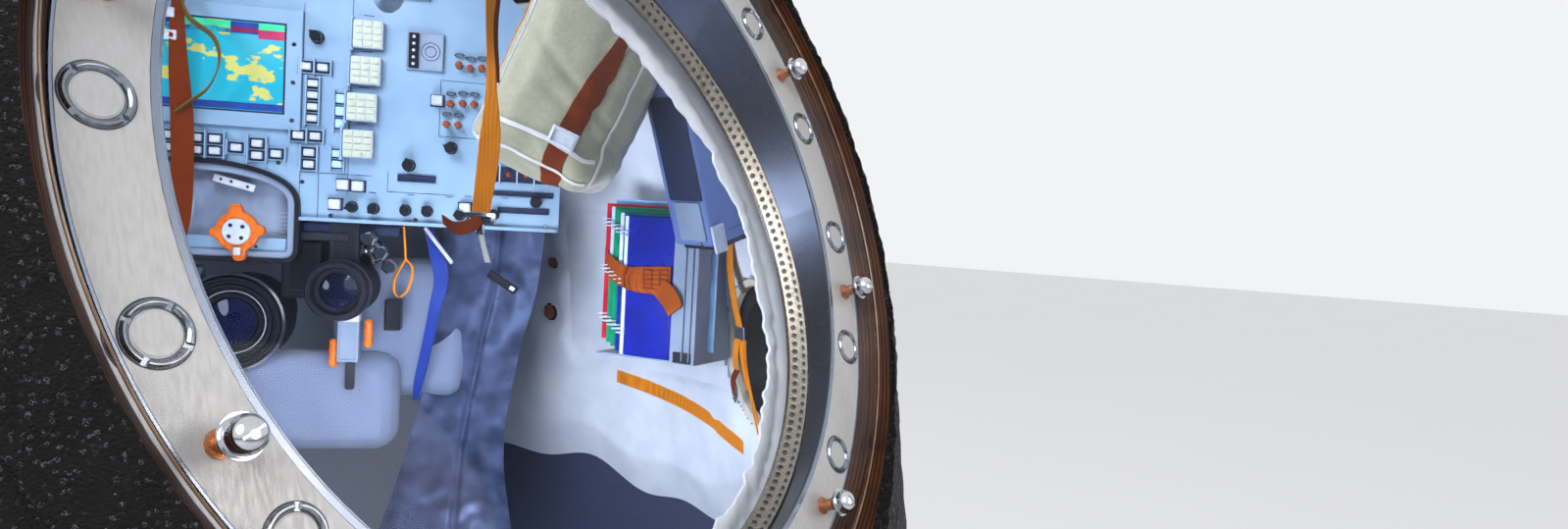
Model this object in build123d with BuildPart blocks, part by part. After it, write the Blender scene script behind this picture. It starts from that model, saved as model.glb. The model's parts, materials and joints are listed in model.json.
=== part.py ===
"""Crew descent capsule, standing on its base ring, with the round side mouth open behind a clear pane.

Frame: origin at the centre of the base on the floor, +Z up along the capsule's axis, mouth towards -Y.
All sizes are in millimetres and all angles in degrees.
"""

import os
from math import asin, cos, degrees, pi, radians, sin, sqrt, tan

from build123d import *

os.makedirs("parts", exist_ok=True)

# Hull form: a cone that runs into a spherical nose
DOME_R = 955.0
DOME_Z = 990.0
CONE_ANGLE = 7.0
INNER_NOSE_R = 100.0
WALL = 62.0
SEAM_Z = 620.0
FRAME_TOP = 90.0
FIT = 0.3
SEAL_GAP = 0.5

# Base ring frame, bulkhead and soft-landing motors
FRAME_WEB = 14.0
FRAME_FLANGE = 58.0
FRAME_PLATE = 14.0
BASE_BOLT_INSET = 48.73
BASE_BOLT_COUNT = 24
BASE_BOLT_R = 6.0
BULKHEAD_T = 8.0
RIB_COUNT = 12
RIB_T = 6.0
RIB_DEPTH = 26.0
MOTOR_COUNT = 6
MOTOR_PCD_R = 560.0
MOTOR_R = 95.0
MOTOR_LENGTH = 70.0
NOZZLE_R = 22.0
NOZZLE_RING_R = 55.0
NOZZLE_COUNT = 5
NOZZLE_DEPTH = 24.0

# Side mouth: flange ring, insert nuts, clear pane on standoffs
MOUTH_TILT = 20.0
MOUTH_R = 352.0
FLANGE_W = 56.0
FLANGE_R = MOUTH_R + FLANGE_W
FLANGE_T = 24.0
LIP_SPREAD = 24.6
LIP_R = FLANGE_R + LIP_SPREAD
LIP_H = 30.0
BAND_T = 12.0
BAND_REACH = 95.0
SEAT_T = 8.0
TUBE_T = 6.0
INSERT_INSET = 33.0
INSERT_PCD_R = MOUTH_R + INSERT_INSET
INSERT_COUNT = 18
INSERT_START = 34.9
INSERT_R = 19.5
INSERT_PLUG_R = 13.6
INSERT_DEPTH = 6.0
INSERT_PROUD = 1.2
NOTCH_W = 3.4
NOTCH_DEPTH = 2.2
PANE_LAP = 11.5
PANE_R = FLANGE_R + PANE_LAP
PANE_T = 8.0
PANE_H = 15.0
STANDOFF_SLOTS = (0.5, 2.5, 4.5, 6.5, 7.5, 9.5, 11.5, 13.5, 15.5, 16.5)
STANDOFF_R = 5.5
STANDOFF_NECK_R = 3.0
HEAD_R = 11.5
HEAD_H = 15.0
HEAD_ROUND = 0.8

# Tunnel behind the flange and its perforated strip
STRIP_TILT = 5.2
STRIP_DEPTH = 46.0
STRIP_W = 14.0
STRIP_BEHIND = 18.0
TUBE_REACH = 120.0

# Top hatch, which opens inwards
HATCH_CLEAR_R = 295.0
HATCH_FRAME_W = 76.0
HATCH_FRAME_R = HATCH_CLEAR_R + HATCH_FRAME_W
NOSE_SEAT = 29.0
NOSE_R = HATCH_FRAME_R + NOSE_SEAT
HATCH_FRAME_T = 28.0
HATCH_FRAME_DEPTH = 66.0
DOCK_BOLT_SHIFT = 9.0
DOCK_BOLT_COUNT = 24
DOCK_BOLT_R = 4.5
LID_OVERLAP = 20.0
LID_RIM_W = 44.0
LID_RIM_T = 30.0
LID_SKIN = 10.0
LID_DISH = 38.0
LID_RIBS = 8
LID_RIB_T = 8.0
HINGE_AZ = 225.0
HINGE_SHIFT = 50.0
HINGE_R = HATCH_CLEAR_R + HINGE_SHIFT
HINGE_DROP = 24.0
HINGE_PIN_R = 6.0
HINGE_EYE_R = 12.0
HINGE_ARM_W = 16.0
HINGE_ARM_Y = 34.0
HINGE_LUG_W = 14.0
HINGE_LUG_Y = 54.0
HINGE_RUN = 0.05
LOCK_HUB_R = 34.0
LOCK_WHEEL_R = 92.0
LOCK_WHEEL_T = 9.0
LOCK_DROP = 46.0
LOCK_RODS = 4
LOCK_ROD_R = 5.0

# Portholes
PORT_AZ = 31.0
PORT_Z = 1030.0
PORT_CLEAR_R = 100.0
PORT_RIM = 30.0
PORT_FRAME_R = PORT_CLEAR_R + PORT_RIM
PORT_FRAME_PROUD = 8.0
PORT_GLASS_T = 14.0
PORT_INNER_T = 10.0

# Reserve parachute cover, periscope head, thrusters and umbilical plate
RESERVE_AZ = 166.0
RESERVE_Z = 1310.0
RESERVE_R = 190.0
RESERVE_T = 44.0
RESERVE_PROUD = 4.0
PERISCOPE_R = 62.0
PERISCOPE_PROUD = 64.0
PERISCOPE_WINDOW = 58.0
THRUSTER_Z = 420.0
THRUSTER_R = 34.0
THRUSTER_DEPTH = 46.0
THRUSTER_THROAT = 8.0
THRUSTER_AZS = (75.0, 105.0, 165.0, 195.0, 330.0, 0.0)
UMBILICAL_AZ = 130.0
UMBILICAL_Z = 820.0
UMBILICAL_W = 190.0
UMBILICAL_H = 240.0
UMBILICAL_T = 16.0

# Cabin linings and floor
LINING = 22.0
LINING_LOW = 430.0
LINING_HIGH = 1620.0
WHITE_FROM = -76.0
WHITE_TO = 22.0

# Round holes in the white lining: azimuth, height, radius
LINING_HOLES = ((9.2, 1142.0, 15.0), (10.0, 1039.0, 21.0))
FLOOR_Z = 360.0
FLOOR_T = 20.0

# Console, as seen by the crew: X right, Y up, Z towards them
CONSOLE_AZ = 46.54
CONSOLE_OUT = 332.5
CONSOLE_SIDE = 194.7
CONSOLE_Z = 1358.0
CONSOLE_T = 4.0
CONSOLE_RIM = 46.0
CONSOLE_HALF = 516.0
CONSOLE_LOW = -146.0
CONSOLE_HIGH = 244.0
CONSOLE_CUT = 96.0
CONSOLE_ARM_W = 40.0
CONSOLE_ARM_H = 26.0
CONSOLE_ARM_X = (-600.0, -425.0, 10.0, 210.0)
CONSOLE_ARM_Y = (CONSOLE_LOW + CONSOLE_ARM_H / 2, CONSOLE_HIGH - CONSOLE_ARM_H / 2)
DISPLAY_X = -226.0
DISPLAY_Y = 87.0
DISPLAY_W = 208.0
DISPLAY_H = 144.0
DISPLAY_T = 14.0
DISPLAY_BEZEL = 12.0
ARCH_X = -240.0
ARCH_W = 296.0
ARCH_TOP = -62.0
ARCH_SHOULDER = -125.0
ARCH_LOW = -210.0
ARCH_RIM = 7.0
ARCH_DEPTH = 80.0
ARCH_PROUD = 8.0

# Key blocks on the console: centre X and Y, columns, rows, pitch X and Y, key width, height, proud
KEY_BLOCKS = (
    (-70.0, 100.0, 2, 1, 25.0, 20.0, 17.0, 15.0, 12.0),
    (-71.0, 46.0, 1, 4, 20.0, 18.5, 17.0, 14.0, 12.0),
    (-78.0, -10.0, 2, 1, 25.0, 20.0, 17.0, 15.0, 12.0),
    (-74.0, -46.0, 1, 2, 25.0, 19.0, 17.0, 15.0, 12.0),
    (-224.0, -34.0, 2, 2, 27.0, 19.0, 17.0, 15.0, 12.0),
    (-180.0, -36.0, 1, 1, 27.0, 19.0, 17.0, 15.0, 12.0),
    (-150.0, -37.0, 1, 2, 27.0, 19.0, 17.0, 15.0, 12.0),
    (-122.0, -42.0, 1, 1, 27.0, 19.0, 17.0, 15.0, 12.0),
    (-290.0, -32.0, 2, 2, 27.0, 19.0, 17.0, 15.0, 12.0),
    (-29.0, 33.0, 1, 3, 20.0, 20.0, 17.0, 18.0, 9.0),
    (-32.0, -44.0, 1, 2, 20.0, 17.0, 17.0, 15.0, 9.0),
    (-22.0, -85.0, 1, 1, 20.0, 20.0, 19.0, 16.0, 14.0),
    (1.0, -86.0, 1, 1, 20.0, 20.0, 17.0, 16.0, 14.0),
)

# Indicator panes, each a block of lit windows: centre X, centre Y
INDICATORS = ((10.0, 158.0), (8.0, 100.0), (4.0, 41.0), (0.0, -18.0))
INDICATOR_W = 45.0
INDICATOR_H = 44.0
INDICATOR_PROUD = 20.0

# Knobs: centre X, centre Y, radius, length
KNOBS = (
    (-68.0, 148.0, 9.0, 24.0),
    (77.0, -47.0, 9.0, 26.0),
    (142.0, -14.0, 9.0, 24.0),
    (-8.0, -120.0, 8.0, 22.0),
    (25.0, -121.0, 8.0, 22.0),
    (74.0, -121.0, 8.0, 20.0),
    (108.0, -121.0, 8.0, 20.0),
    (160.0, -124.0, 8.0, 22.0),
    (214.0, -121.0, 8.0, 20.0),
)

# Capped switches: centre X, centre Y
SWITCHES = (
    (150.0, 122.0), (168.0, 118.0), (139.0, 58.0), (158.0, 60.0),
    (134.0, 24.0), (152.0, 24.0), (186.0, 120.0), (176.0, 60.0),
)
SWITCH_R = 5.0
SWITCH_L = 20.0

# Gauge behind its domed glass, four-lobed valve knob and the optical sight below the console
GAUGE_X = 96.0
GAUGE_Y = 140.0
GAUGE_W = 56.0
GAUGE_H = 60.0
GAUGE_PROUD = 14.0
VALVE_X = -172.0
VALVE_Y = -168.0
VALVE_R = 27.0
VALVE_LOBE_R = 10.0
VALVE_T = 26.0
SIGHT_X = -CONSOLE_SIDE
SIGHT_Y = -320.0
SIGHT_R = 78.0
SIGHT_FACE = -40.0
SIGHT_RIM = 8.0
SIGHT_STEP = 120.0
SIGHT_NECK_R = 52.0
SIGHT_GAP = 10.0
LENS_X = -20.0
LENS_Y = -255.0
LENS_R = 48.0
LENS_L = 150.0
GRIP_SHIFT = 10.0
GRIP_W = 34.0
GRIP_H = 80.0

# Books in their wall holder
BOOK_AZ = -22.0
BOOK_OUT = 735.0
BOOK_FACE = 185.7
BOOK_Z = 1128.0
BOOK_W = 153.0
BOOK_H = 240.0
BOOK_T = 9.0
BOOK_D = 120.0
BOOK_COUNT = 5
BOOK_STEP = 10.0
CHANNEL_W = 48.0
CHANNEL_T = 3.0
BAND_H = 55.0
BAND_THICK = 3.0

# Soft bag under the nose, its band, and the equipment box
BAG_AT = (476.0, -276.0, 1452.0)
BAG_FACE = 212.5
BAG_ROLL = 22.5
BAG_W = 210.0
BAG_H = 330.0
BAG_D = 190.0
BAG_EDGE = 32.0
BAG_BAND_X = 45.0
BOX_AT = (643.0, -406.0, 1353.0)
BOX_FACE = 258.0
BOX_ROLL = -19.0
BOX_W = 150.0
BOX_H = 260.0
BOX_D = 100.0
BOX_EDGE = 8.0

# Hanging straps and the pull loop
STRAP_W = 25.0
STRAP_T = 2.5
STRAP_L = 540.0
STRAP_AT = (180.0, -417.0, 1780.0)
SIDE_STRAP_X = -262.0
SIDE_STRAP_L = 455.0
PULL_X = 75.0
PULL_W = 34.0
PULL_L = 92.0

# Mouth sleeve
SLEEVE_REACH = 118.0
SLEEVE_T = 18.0

# Seats: side line as (reach, height), struts as (reach, height under the shell)
SEAT_W = 380.0
SEAT_T = 10.0
SEAT_PAD = 28.0
SEAT_LINE = ((120.0, 590.0), (330.0, 520.0), (780.0, 610.0))
SEAT_STRUTS = ((330.0, 521.0), (700.0, 596.0))
SEAT_STRUT_R = 14.0
SEAT_SECTOR = 13.5
SEAT_AZS = (CONSOLE_AZ + 152.0, CONSOLE_AZ + 180.0, CONSOLE_AZ + 208.0)


def cone_radius(z, offset=0.0):
    """Radius of the cone at a height, with its face moved inwards by offset."""
    radius = (DOME_R - offset) * cos(radians(CONE_ANGLE))
    height = DOME_Z + (DOME_R - offset) * sin(radians(CONE_ANGLE))
    return radius + (height - z) * tan(radians(CONE_ANGLE))


def dome_radius(z, offset=0.0):
    """Radius of the spherical nose at a height."""
    return sqrt((DOME_R - offset) ** 2 - (z - DOME_Z) ** 2)


def hull_radius(z, offset=0.0):
    """Radius of the hull's form at a height, on the cone or on the nose."""
    tangent = DOME_Z + (DOME_R - offset) * sin(radians(CONE_ANGLE))
    return dome_radius(z, offset) if z > tangent else cone_radius(z, offset)


def hull_form(offset, low, top_radius):
    """Solid of the hull's form, moved inwards by offset, from a height up to a flat nose."""
    radius = DOME_R - offset
    start = radians(CONE_ANGLE)
    end = pi / 2 - asin(top_radius / radius)
    middle = (start + end) / 2
    joint = (radius * cos(start), DOME_Z + radius * sin(start))
    bulge = (radius * cos(middle), DOME_Z + radius * sin(middle))
    nose = (radius * cos(end), DOME_Z + radius * sin(end))
    with BuildPart() as form:
        with BuildSketch(Plane.XZ):
            with BuildLine():
                Polyline(nose, (0, nose[1]), (0, low), (cone_radius(low, offset), low), joint)
                ThreePointArc(joint, bulge, nose)
            make_face()
        revolve(axis=Axis.Z)
    return form.part


def turned(plane, outline):
    """Solid of revolution about a plane's own Y axis, from closed (radius, height) points."""
    with BuildPart() as form:
        with BuildSketch(plane):
            with BuildLine():
                Polyline(*outline, close=True)
            make_face()
        revolve(axis=Axis(plane.origin, plane.y_dir))
    return form.part


def wall_plane(azimuth, height, offset=0.0):
    """Plane on the hull's form, X along its girth, Y up its slope and Z outwards."""
    turn = radians(azimuth)
    tangent = DOME_Z + (DOME_R - offset) * sin(radians(CONE_ANGLE))
    rise = CONE_ANGLE
    if height > tangent:
        rise = degrees(asin((height - DOME_Z) / (DOME_R - offset)))
    radius = hull_radius(height, offset)
    rise = radians(rise)
    return Plane(
        origin=(radius * cos(turn), radius * sin(turn), height),
        x_dir=(-sin(turn), cos(turn), 0),
        z_dir=(cos(rise) * cos(turn), cos(rise) * sin(turn), sin(rise)),
    )


def section_of(plane):
    """Plane through another's normal, X as its X and Y along its normal, for turned outlines."""
    return Plane(origin=plane.origin, x_dir=plane.x_dir, z_dir=-plane.y_dir)


def save(built, name):
    """Label a finished piece and write it to its file."""
    built.label = name
    export_step(built, f"parts/{name}.step")


# Forms and planes that several pieces share
NOSE_Z = DOME_Z + sqrt(DOME_R**2 - NOSE_R**2)
outer_form = hull_form(0, FRAME_TOP, NOSE_R)
inner_form = hull_form(WALL, FRAME_TOP, INNER_NOSE_R)
lining_form = hull_form(WALL + FIT, LINING_LOW, INNER_NOSE_R)
cabin_form = hull_form(WALL + LINING, LINING_LOW, INNER_NOSE_R)

MOUTH_BACK = sqrt(DOME_R**2 - LIP_R**2) - LIP_H
tilt = radians(MOUTH_TILT)
mouth = Plane(
    origin=(0, -MOUTH_BACK * cos(tilt), DOME_Z + MOUTH_BACK * sin(tilt)),
    x_dir=(1, 0, 0),
    z_dir=(0, -cos(tilt), sin(tilt)),
)
mouth_section = section_of(mouth)
lean = (LIP_R - FLANGE_R) / LIP_H
COLLAR_R = FLANGE_R + BAND_T + 1

# Base ring frame, a channel open inwards, with the heat shield's bolt circle in its foot
base_r = cone_radius(0)
frame_outline = (
    (base_r - FRAME_FLANGE, 0),
    (base_r, 0),
    (cone_radius(FRAME_TOP - FIT), FRAME_TOP - FIT),
    (base_r - FRAME_FLANGE - 10, FRAME_TOP - FIT),
    (base_r - FRAME_FLANGE - 10, FRAME_TOP - FRAME_PLATE),
    (base_r - FRAME_WEB - 10, FRAME_TOP - FRAME_PLATE),
    (base_r - FRAME_WEB, FRAME_PLATE),
    (base_r - FRAME_FLANGE, FRAME_PLATE),
)
with BuildPart() as base_frame:
    add(turned(Plane.XZ, frame_outline))
    with BuildSketch(Plane.XY):
        with PolarLocations(base_r - BASE_BOLT_INSET, BASE_BOLT_COUNT):
            Circle(BASE_BOLT_R)
    extrude(amount=FRAME_PLATE, mode=Mode.SUBTRACT)
save(base_frame.part, "base_frame")

# Base bulkhead, a flat skin hung from the frame's top flange
bulkhead_r = base_r - FRAME_FLANGE - 10 - FIT
with BuildPart() as base_bulkhead:
    with BuildSketch(Plane.XY.offset(FRAME_TOP - FRAME_PLATE)):
        Circle(bulkhead_r)
    extrude(amount=BULKHEAD_T)
save(base_bulkhead.part, "base_bulkhead")

# Its stiffeners below: an outer ring with radial ribs, and an inner ring round the recess
with BuildPart() as bulkhead_ribs:
    with BuildSketch(Plane.XY.offset(FRAME_TOP - FRAME_PLATE)):
        Circle(bulkhead_r)
        Circle(bulkhead_r - RIB_T, mode=Mode.SUBTRACT)
        Circle(MOTOR_PCD_R - MOTOR_R - 60)
        Circle(MOTOR_PCD_R - MOTOR_R - 60 - RIB_T, mode=Mode.SUBTRACT)
        with PolarLocations((bulkhead_r + MOTOR_PCD_R + MOTOR_R) / 2, RIB_COUNT):
            Rectangle(bulkhead_r - MOTOR_PCD_R - MOTOR_R - 10, RIB_T)
    extrude(amount=-RIB_DEPTH)
save(bulkhead_ribs.part, "bulkhead_ribs")

# Soft-landing motors, each a squat can with a ring of slanting nozzles
motor_top = FRAME_TOP - FRAME_PLATE - FIT
with BuildPart() as landing_motors:
    with BuildSketch(Plane.XY.offset(motor_top)):
        with PolarLocations(MOTOR_PCD_R, MOTOR_COUNT, start_angle=30):
            Circle(MOTOR_R)
    extrude(amount=-MOTOR_LENGTH + NOZZLE_DEPTH)
    chamfer(landing_motors.edges().group_by(Axis.Z)[0], 8)
    with BuildSketch(Plane.XY.offset(motor_top - MOTOR_LENGTH)):
        with PolarLocations(MOTOR_PCD_R, MOTOR_COUNT, start_angle=30):
            with PolarLocations(NOZZLE_RING_R, NOZZLE_COUNT):
                Circle(NOZZLE_R)
                Circle(NOZZLE_R - 5, mode=Mode.SUBTRACT)
    extrude(amount=NOZZLE_DEPTH)
save(landing_motors.part, "landing_motors")

# Cutting tools for the openings in the shells
band_top = COLLAR_R + lean * BAND_REACH
mouth_hole = turned(
    mouth_section,
    (
        (0, -TUBE_REACH * 2),
        (COLLAR_R + FIT, -TUBE_REACH * 2),
        (COLLAR_R + FIT, 0),
        (band_top + FIT, BAND_REACH),
        (band_top + FIT, BAND_REACH * 2),
        (0, BAND_REACH * 2),
    ),
)
port_planes = {"right": wall_plane(-PORT_AZ, PORT_Z), "left": wall_plane(180 + PORT_AZ, PORT_Z)}
reserve = wall_plane(RESERVE_AZ, RESERVE_Z)
periscope = wall_plane(CONSOLE_AZ, CONSOLE_Z + SIGHT_Y)
thruster_planes = [wall_plane(azimuth, THRUSTER_Z) for azimuth in THRUSTER_AZS]
umbilical = wall_plane(UMBILICAL_AZ, UMBILICAL_Z)


def round_hole(plane, radius, depth):
    """Cylinder that cuts a round opening through a wall, both ways from its plane."""
    with BuildPart() as hole:
        with BuildSketch(plane):
            Circle(radius)
        extrude(amount=depth, both=True)
    return hole.part


# Side shell: heat protection and pressure hull as one wall, below the seam
with BuildPart() as side_shell:
    add(outer_form)
    add(inner_form, mode=Mode.SUBTRACT)
    split(bisect_by=Plane.XY.offset(SEAM_Z), keep=Keep.BOTTOM)
    for plane in thruster_planes:
        add(round_hole(plane, THRUSTER_R + FIT, WALL * 1.5), mode=Mode.SUBTRACT)
save(side_shell.part, "side_shell")

# Upper shell: cone and nose above the seam, with every opening cut
with BuildPart() as upper_shell:
    add(outer_form)
    add(inner_form, mode=Mode.SUBTRACT)
    split(bisect_by=Plane.XY.offset(SEAM_Z + FIT), keep=Keep.TOP)
    add(round_hole(Plane.XY.offset(NOSE_Z), HATCH_FRAME_R + FIT, WALL * 2), mode=Mode.SUBTRACT)
    add(mouth_hole, mode=Mode.SUBTRACT)
    for plane in port_planes.values():
        add(round_hole(plane, PORT_FRAME_R + FIT, WALL * 1.5), mode=Mode.SUBTRACT)
    add(round_hole(reserve, RESERVE_R + FIT, RESERVE_T + FIT), mode=Mode.SUBTRACT)
    add(round_hole(periscope, PERISCOPE_R + FIT, WALL * 1.5), mode=Mode.SUBTRACT)
save(upper_shell.part, "upper_shell")

# Laminate band: the machined edge of the heat protection round the mouth, flush with the hull's form
tangent_z = DOME_Z + DOME_R * sin(radians(CONE_ANGLE))
band_ring = turned(
    mouth_section,
    (
        (FLANGE_R + 1, 0),
        (COLLAR_R, 0),
        (band_top, BAND_REACH),
        (FLANGE_R + 1 + lean * BAND_REACH, BAND_REACH),
    ),
)
with BuildPart() as band_upper:
    add(band_ring)
    split(bisect_by=Plane.XY.offset(tangent_z), keep=Keep.TOP)
    with Locations((0, 0, DOME_Z)):
        Sphere(DOME_R, mode=Mode.INTERSECT)
with BuildPart() as band_lower:
    add(band_ring)
    split(bisect_by=Plane.XY.offset(tangent_z), keep=Keep.BOTTOM)
    with Locations((0, 0, tangent_z / 2)):
        Cone(cone_radius(0), cone_radius(tangent_z), tangent_z, mode=Mode.INTERSECT)
with BuildPart() as laminate_band:
    add(band_upper.part)
    add(band_lower.part)
save(laminate_band.part, "laminate_band")

# Mouth collar: the tube through the wall, the seat of the flange and the outer rim
strip_plane = Plane(
    origin=mouth.origin - mouth.z_dir * STRIP_DEPTH,
    x_dir=(1, 0, 0),
    z_dir=(0, -cos(tilt + radians(STRIP_TILT)), sin(tilt + radians(STRIP_TILT))),
)
tube_r = MOUTH_R + TUBE_T
with BuildPart() as mouth_collar:
    add(
        turned(
            mouth_section,
            (
                (MOUTH_R, 0),
                (tube_r, 0),
                (tube_r, -FLANGE_T),
                (FLANGE_R + 1, -FLANGE_T),
                (FLANGE_R + 1, -FIT),
                (COLLAR_R, -FIT),
                (COLLAR_R, -FLANGE_T - SEAT_T),
                (tube_r, -FLANGE_T - SEAT_T),
                (tube_r, -TUBE_REACH),
                (MOUTH_R, -TUBE_REACH),
            ),
        )
    )
    split(bisect_by=strip_plane.offset(-STRIP_BEHIND), keep=Keep.TOP)
save(mouth_collar.part, "mouth_collar")

# Mouth flange: a flat ring with a counterbored pocket for each insert nut
with BuildPart() as mouth_flange:
    with BuildSketch(mouth.offset(-FLANGE_T + FIT)):
        Circle(FLANGE_R)
        Circle(tube_r + FIT, mode=Mode.SUBTRACT)
    extrude(amount=FLANGE_T - FIT)
    with BuildSketch(mouth):
        with PolarLocations(INSERT_PCD_R, INSERT_COUNT, start_angle=INSERT_START):
            Circle(INSERT_R + FIT)
            Circle(INSERT_PLUG_R, mode=Mode.SUBTRACT)
    extrude(amount=-INSERT_DEPTH, mode=Mode.SUBTRACT)
save(mouth_flange.part, "mouth_flange")

# Insert nuts: notched rings that fill the pockets
with BuildPart() as insert_nuts:
    with BuildSketch(mouth.offset(-INSERT_DEPTH + FIT)):
        with PolarLocations(INSERT_PCD_R, INSERT_COUNT, start_angle=INSERT_START):
            Circle(INSERT_R)
            Circle(INSERT_PLUG_R + FIT, mode=Mode.SUBTRACT)
    extrude(amount=INSERT_DEPTH - FIT + INSERT_PROUD)
    with BuildSketch(mouth.offset(INSERT_PROUD)):
        with PolarLocations(INSERT_PCD_R, INSERT_COUNT, start_angle=INSERT_START):
            with PolarLocations((INSERT_R + INSERT_PLUG_R) / 2, 4, start_angle=45):
                Rectangle(INSERT_R, NOTCH_W)
    extrude(amount=-NOTCH_DEPTH, mode=Mode.SUBTRACT)
save(insert_nuts.part, "insert_nuts")

# Standoffs: shafts from the flange to the pane, with a neck through the pane and a domed head on it
standoff_angles = [INSERT_START - 360 / INSERT_COUNT * slot for slot in STANDOFF_SLOTS]


def standoff_spots():
    """Locations of the standoffs on the mouth's plane."""
    spots = [(radians(angle), INSERT_PCD_R) for angle in standoff_angles]
    return [(radius * cos(angle), radius * sin(angle)) for angle, radius in spots]


with BuildPart() as standoffs:
    with BuildSketch(mouth.offset(FIT)):
        with Locations(*standoff_spots()):
            Circle(STANDOFF_R)
    extrude(amount=PANE_H - 2 * FIT)
    with BuildSketch(mouth.offset(PANE_H - FIT)):
        with Locations(*standoff_spots()):
            Circle(STANDOFF_NECK_R)
    extrude(amount=PANE_T + FIT)
save(standoffs.part, "standoffs")

with BuildPart() as standoff_heads:
    with BuildSketch(mouth.offset(PANE_H + PANE_T + FIT)):
        with Locations(*standoff_spots()):
            Circle(HEAD_R)
    extrude(amount=HEAD_H)
    head_tops = standoff_heads.faces().filter_by(mouth).group_by(Axis(mouth.origin, mouth.z_dir))[-1]
    fillet(head_tops.edges(), HEAD_R * HEAD_ROUND)
save(standoff_heads.part, "standoff_heads")

# Clear pane, drilled for the standoffs
with BuildPart() as mouth_pane:
    with BuildSketch(mouth.offset(PANE_H)):
        Circle(PANE_R)
        with Locations(*standoff_spots()):
            Circle(STANDOFF_NECK_R + FIT, mode=Mode.SUBTRACT)
    extrude(amount=PANE_T)
save(mouth_pane.part, "mouth_pane")

# Perforated strip: a rolled, rounded ring in the tunnel's inner end, on its own slight tilt
strip_section = section_of(strip_plane)
with BuildPart() as strip_ring:
    with BuildSketch(strip_section):
        with BuildLine():
            Polyline(
                (MOUTH_R - STRIP_W, -STRIP_W),
                (MOUTH_R - STRIP_W, -STRIP_BEHIND),
                (MOUTH_R - 2 * FIT, -STRIP_BEHIND),
                (MOUTH_R - 2 * FIT, 0),
            )
            ThreePointArc(
                (MOUTH_R - 2 * FIT, 0),
                (MOUTH_R - STRIP_W * 0.42, -STRIP_W * 0.36),
                (MOUTH_R - STRIP_W, -STRIP_W),
            )
        make_face()
    revolve(axis=Axis(strip_section.origin, strip_section.y_dir))
save(strip_ring.part, "strip_ring")

# Hatch frame: the docking ring on the nose, with a seat below it for the lid
frame_low = NOSE_Z - HATCH_FRAME_DEPTH
with BuildPart() as hatch_frame:
    add(
        turned(
            Plane.XZ,
            (
                (HATCH_CLEAR_R, frame_low),
                (HATCH_FRAME_R, frame_low),
                (HATCH_FRAME_R, NOSE_Z + FIT),
                (NOSE_R, NOSE_Z + FIT),
                (NOSE_R, NOSE_Z + HATCH_FRAME_T),
                (HATCH_CLEAR_R + LID_OVERLAP, NOSE_Z + HATCH_FRAME_T),
                (HATCH_CLEAR_R, NOSE_Z),
            ),
        )
    )
    with BuildSketch(Plane.XY.offset(NOSE_Z + HATCH_FRAME_T)):
        with PolarLocations(HATCH_FRAME_R + DOCK_BOLT_SHIFT, DOCK_BOLT_COUNT):
            Circle(DOCK_BOLT_R)
    extrude(amount=-HATCH_FRAME_T, mode=Mode.SUBTRACT)
save(hatch_frame.part, "hatch_frame")

# Hatch lid, against the frame's underside: a rim, a skin dished upwards, ribs and two hinge arms
lid_r = HATCH_CLEAR_R + LID_OVERLAP
lid_top = frame_low - SEAL_GAP
lid_low = lid_top - LID_RIM_T
dish_r = lid_r - LID_RIM_W
hinge_turn = radians(HINGE_AZ)
hinge_z = frame_low - HINGE_DROP
hinge = Plane(
    origin=(HINGE_R * cos(hinge_turn), HINGE_R * sin(hinge_turn), hinge_z),
    x_dir=(-cos(hinge_turn), -sin(hinge_turn), 0),
    z_dir=(-sin(hinge_turn), cos(hinge_turn), 0),
)
dish_points = (
    (dish_r, lid_top),
    (dish_r * 0.55, lid_top + LID_DISH * 0.7),
    (0, lid_top + LID_DISH),
)
with BuildPart() as lid_lens:
    with BuildSketch(Plane.XZ):
        with BuildLine():
            ThreePointArc(*[(x, z - LID_SKIN / 2) for x, z in dish_points])
            Polyline((0, lid_top + LID_DISH - LID_SKIN / 2), (0, lid_low), (dish_r, lid_low))
            Line((dish_r, lid_low), (dish_r, lid_top - LID_SKIN / 2))
        make_face()
    revolve(axis=Axis.Z)
with BuildPart() as lid_ribs:
    with BuildSketch(Plane.XY.offset(lid_low)):
        with PolarLocations(0, LID_RIBS, start_angle=180 / LID_RIBS):
            with Locations((dish_r / 2, 0)):
                Rectangle(dish_r * 1.1, LID_RIB_T)
        Circle(LOCK_HUB_R)
    extrude(amount=LID_RIM_T + LID_DISH)
    add(lid_lens.part, mode=Mode.INTERSECT)
with BuildPart() as hatch_lid:
    with BuildSketch(Plane.XZ):
        with BuildLine():
            ThreePointArc(*dish_points)
            Line((0, lid_top + LID_DISH), (0, lid_top + LID_DISH - LID_SKIN))
            ThreePointArc(*[(x, z - LID_SKIN) for x, z in reversed(dish_points)])
            Line((dish_r, lid_top - LID_SKIN), (dish_r, lid_top))
        make_face()
    revolve(axis=Axis.Z)
    with BuildSketch(Plane.XY.offset(lid_low)):
        Circle(lid_r)
        Circle(dish_r, mode=Mode.SUBTRACT)
    extrude(amount=LID_RIM_T)
    add(lid_ribs.part)
    for side in (-1, 1):
        with BuildSketch(hinge.offset(side * HINGE_ARM_Y - HINGE_ARM_W / 2)):
            Circle(HINGE_EYE_R)
            with Locations((HINGE_EYE_R * 2, (lid_low - hinge_z + HINGE_EYE_R / 2) / 2)):
                Rectangle(HINGE_EYE_R * 4, hinge_z - lid_low + HINGE_EYE_R / 2)
        extrude(amount=HINGE_ARM_W)
    with BuildSketch(hinge.offset(-HINGE_LUG_Y)):
        Circle(HINGE_PIN_R + HINGE_RUN)
    extrude(amount=2 * HINGE_LUG_Y, mode=Mode.SUBTRACT)
save(hatch_lid.part, "hatch_lid")

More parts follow.
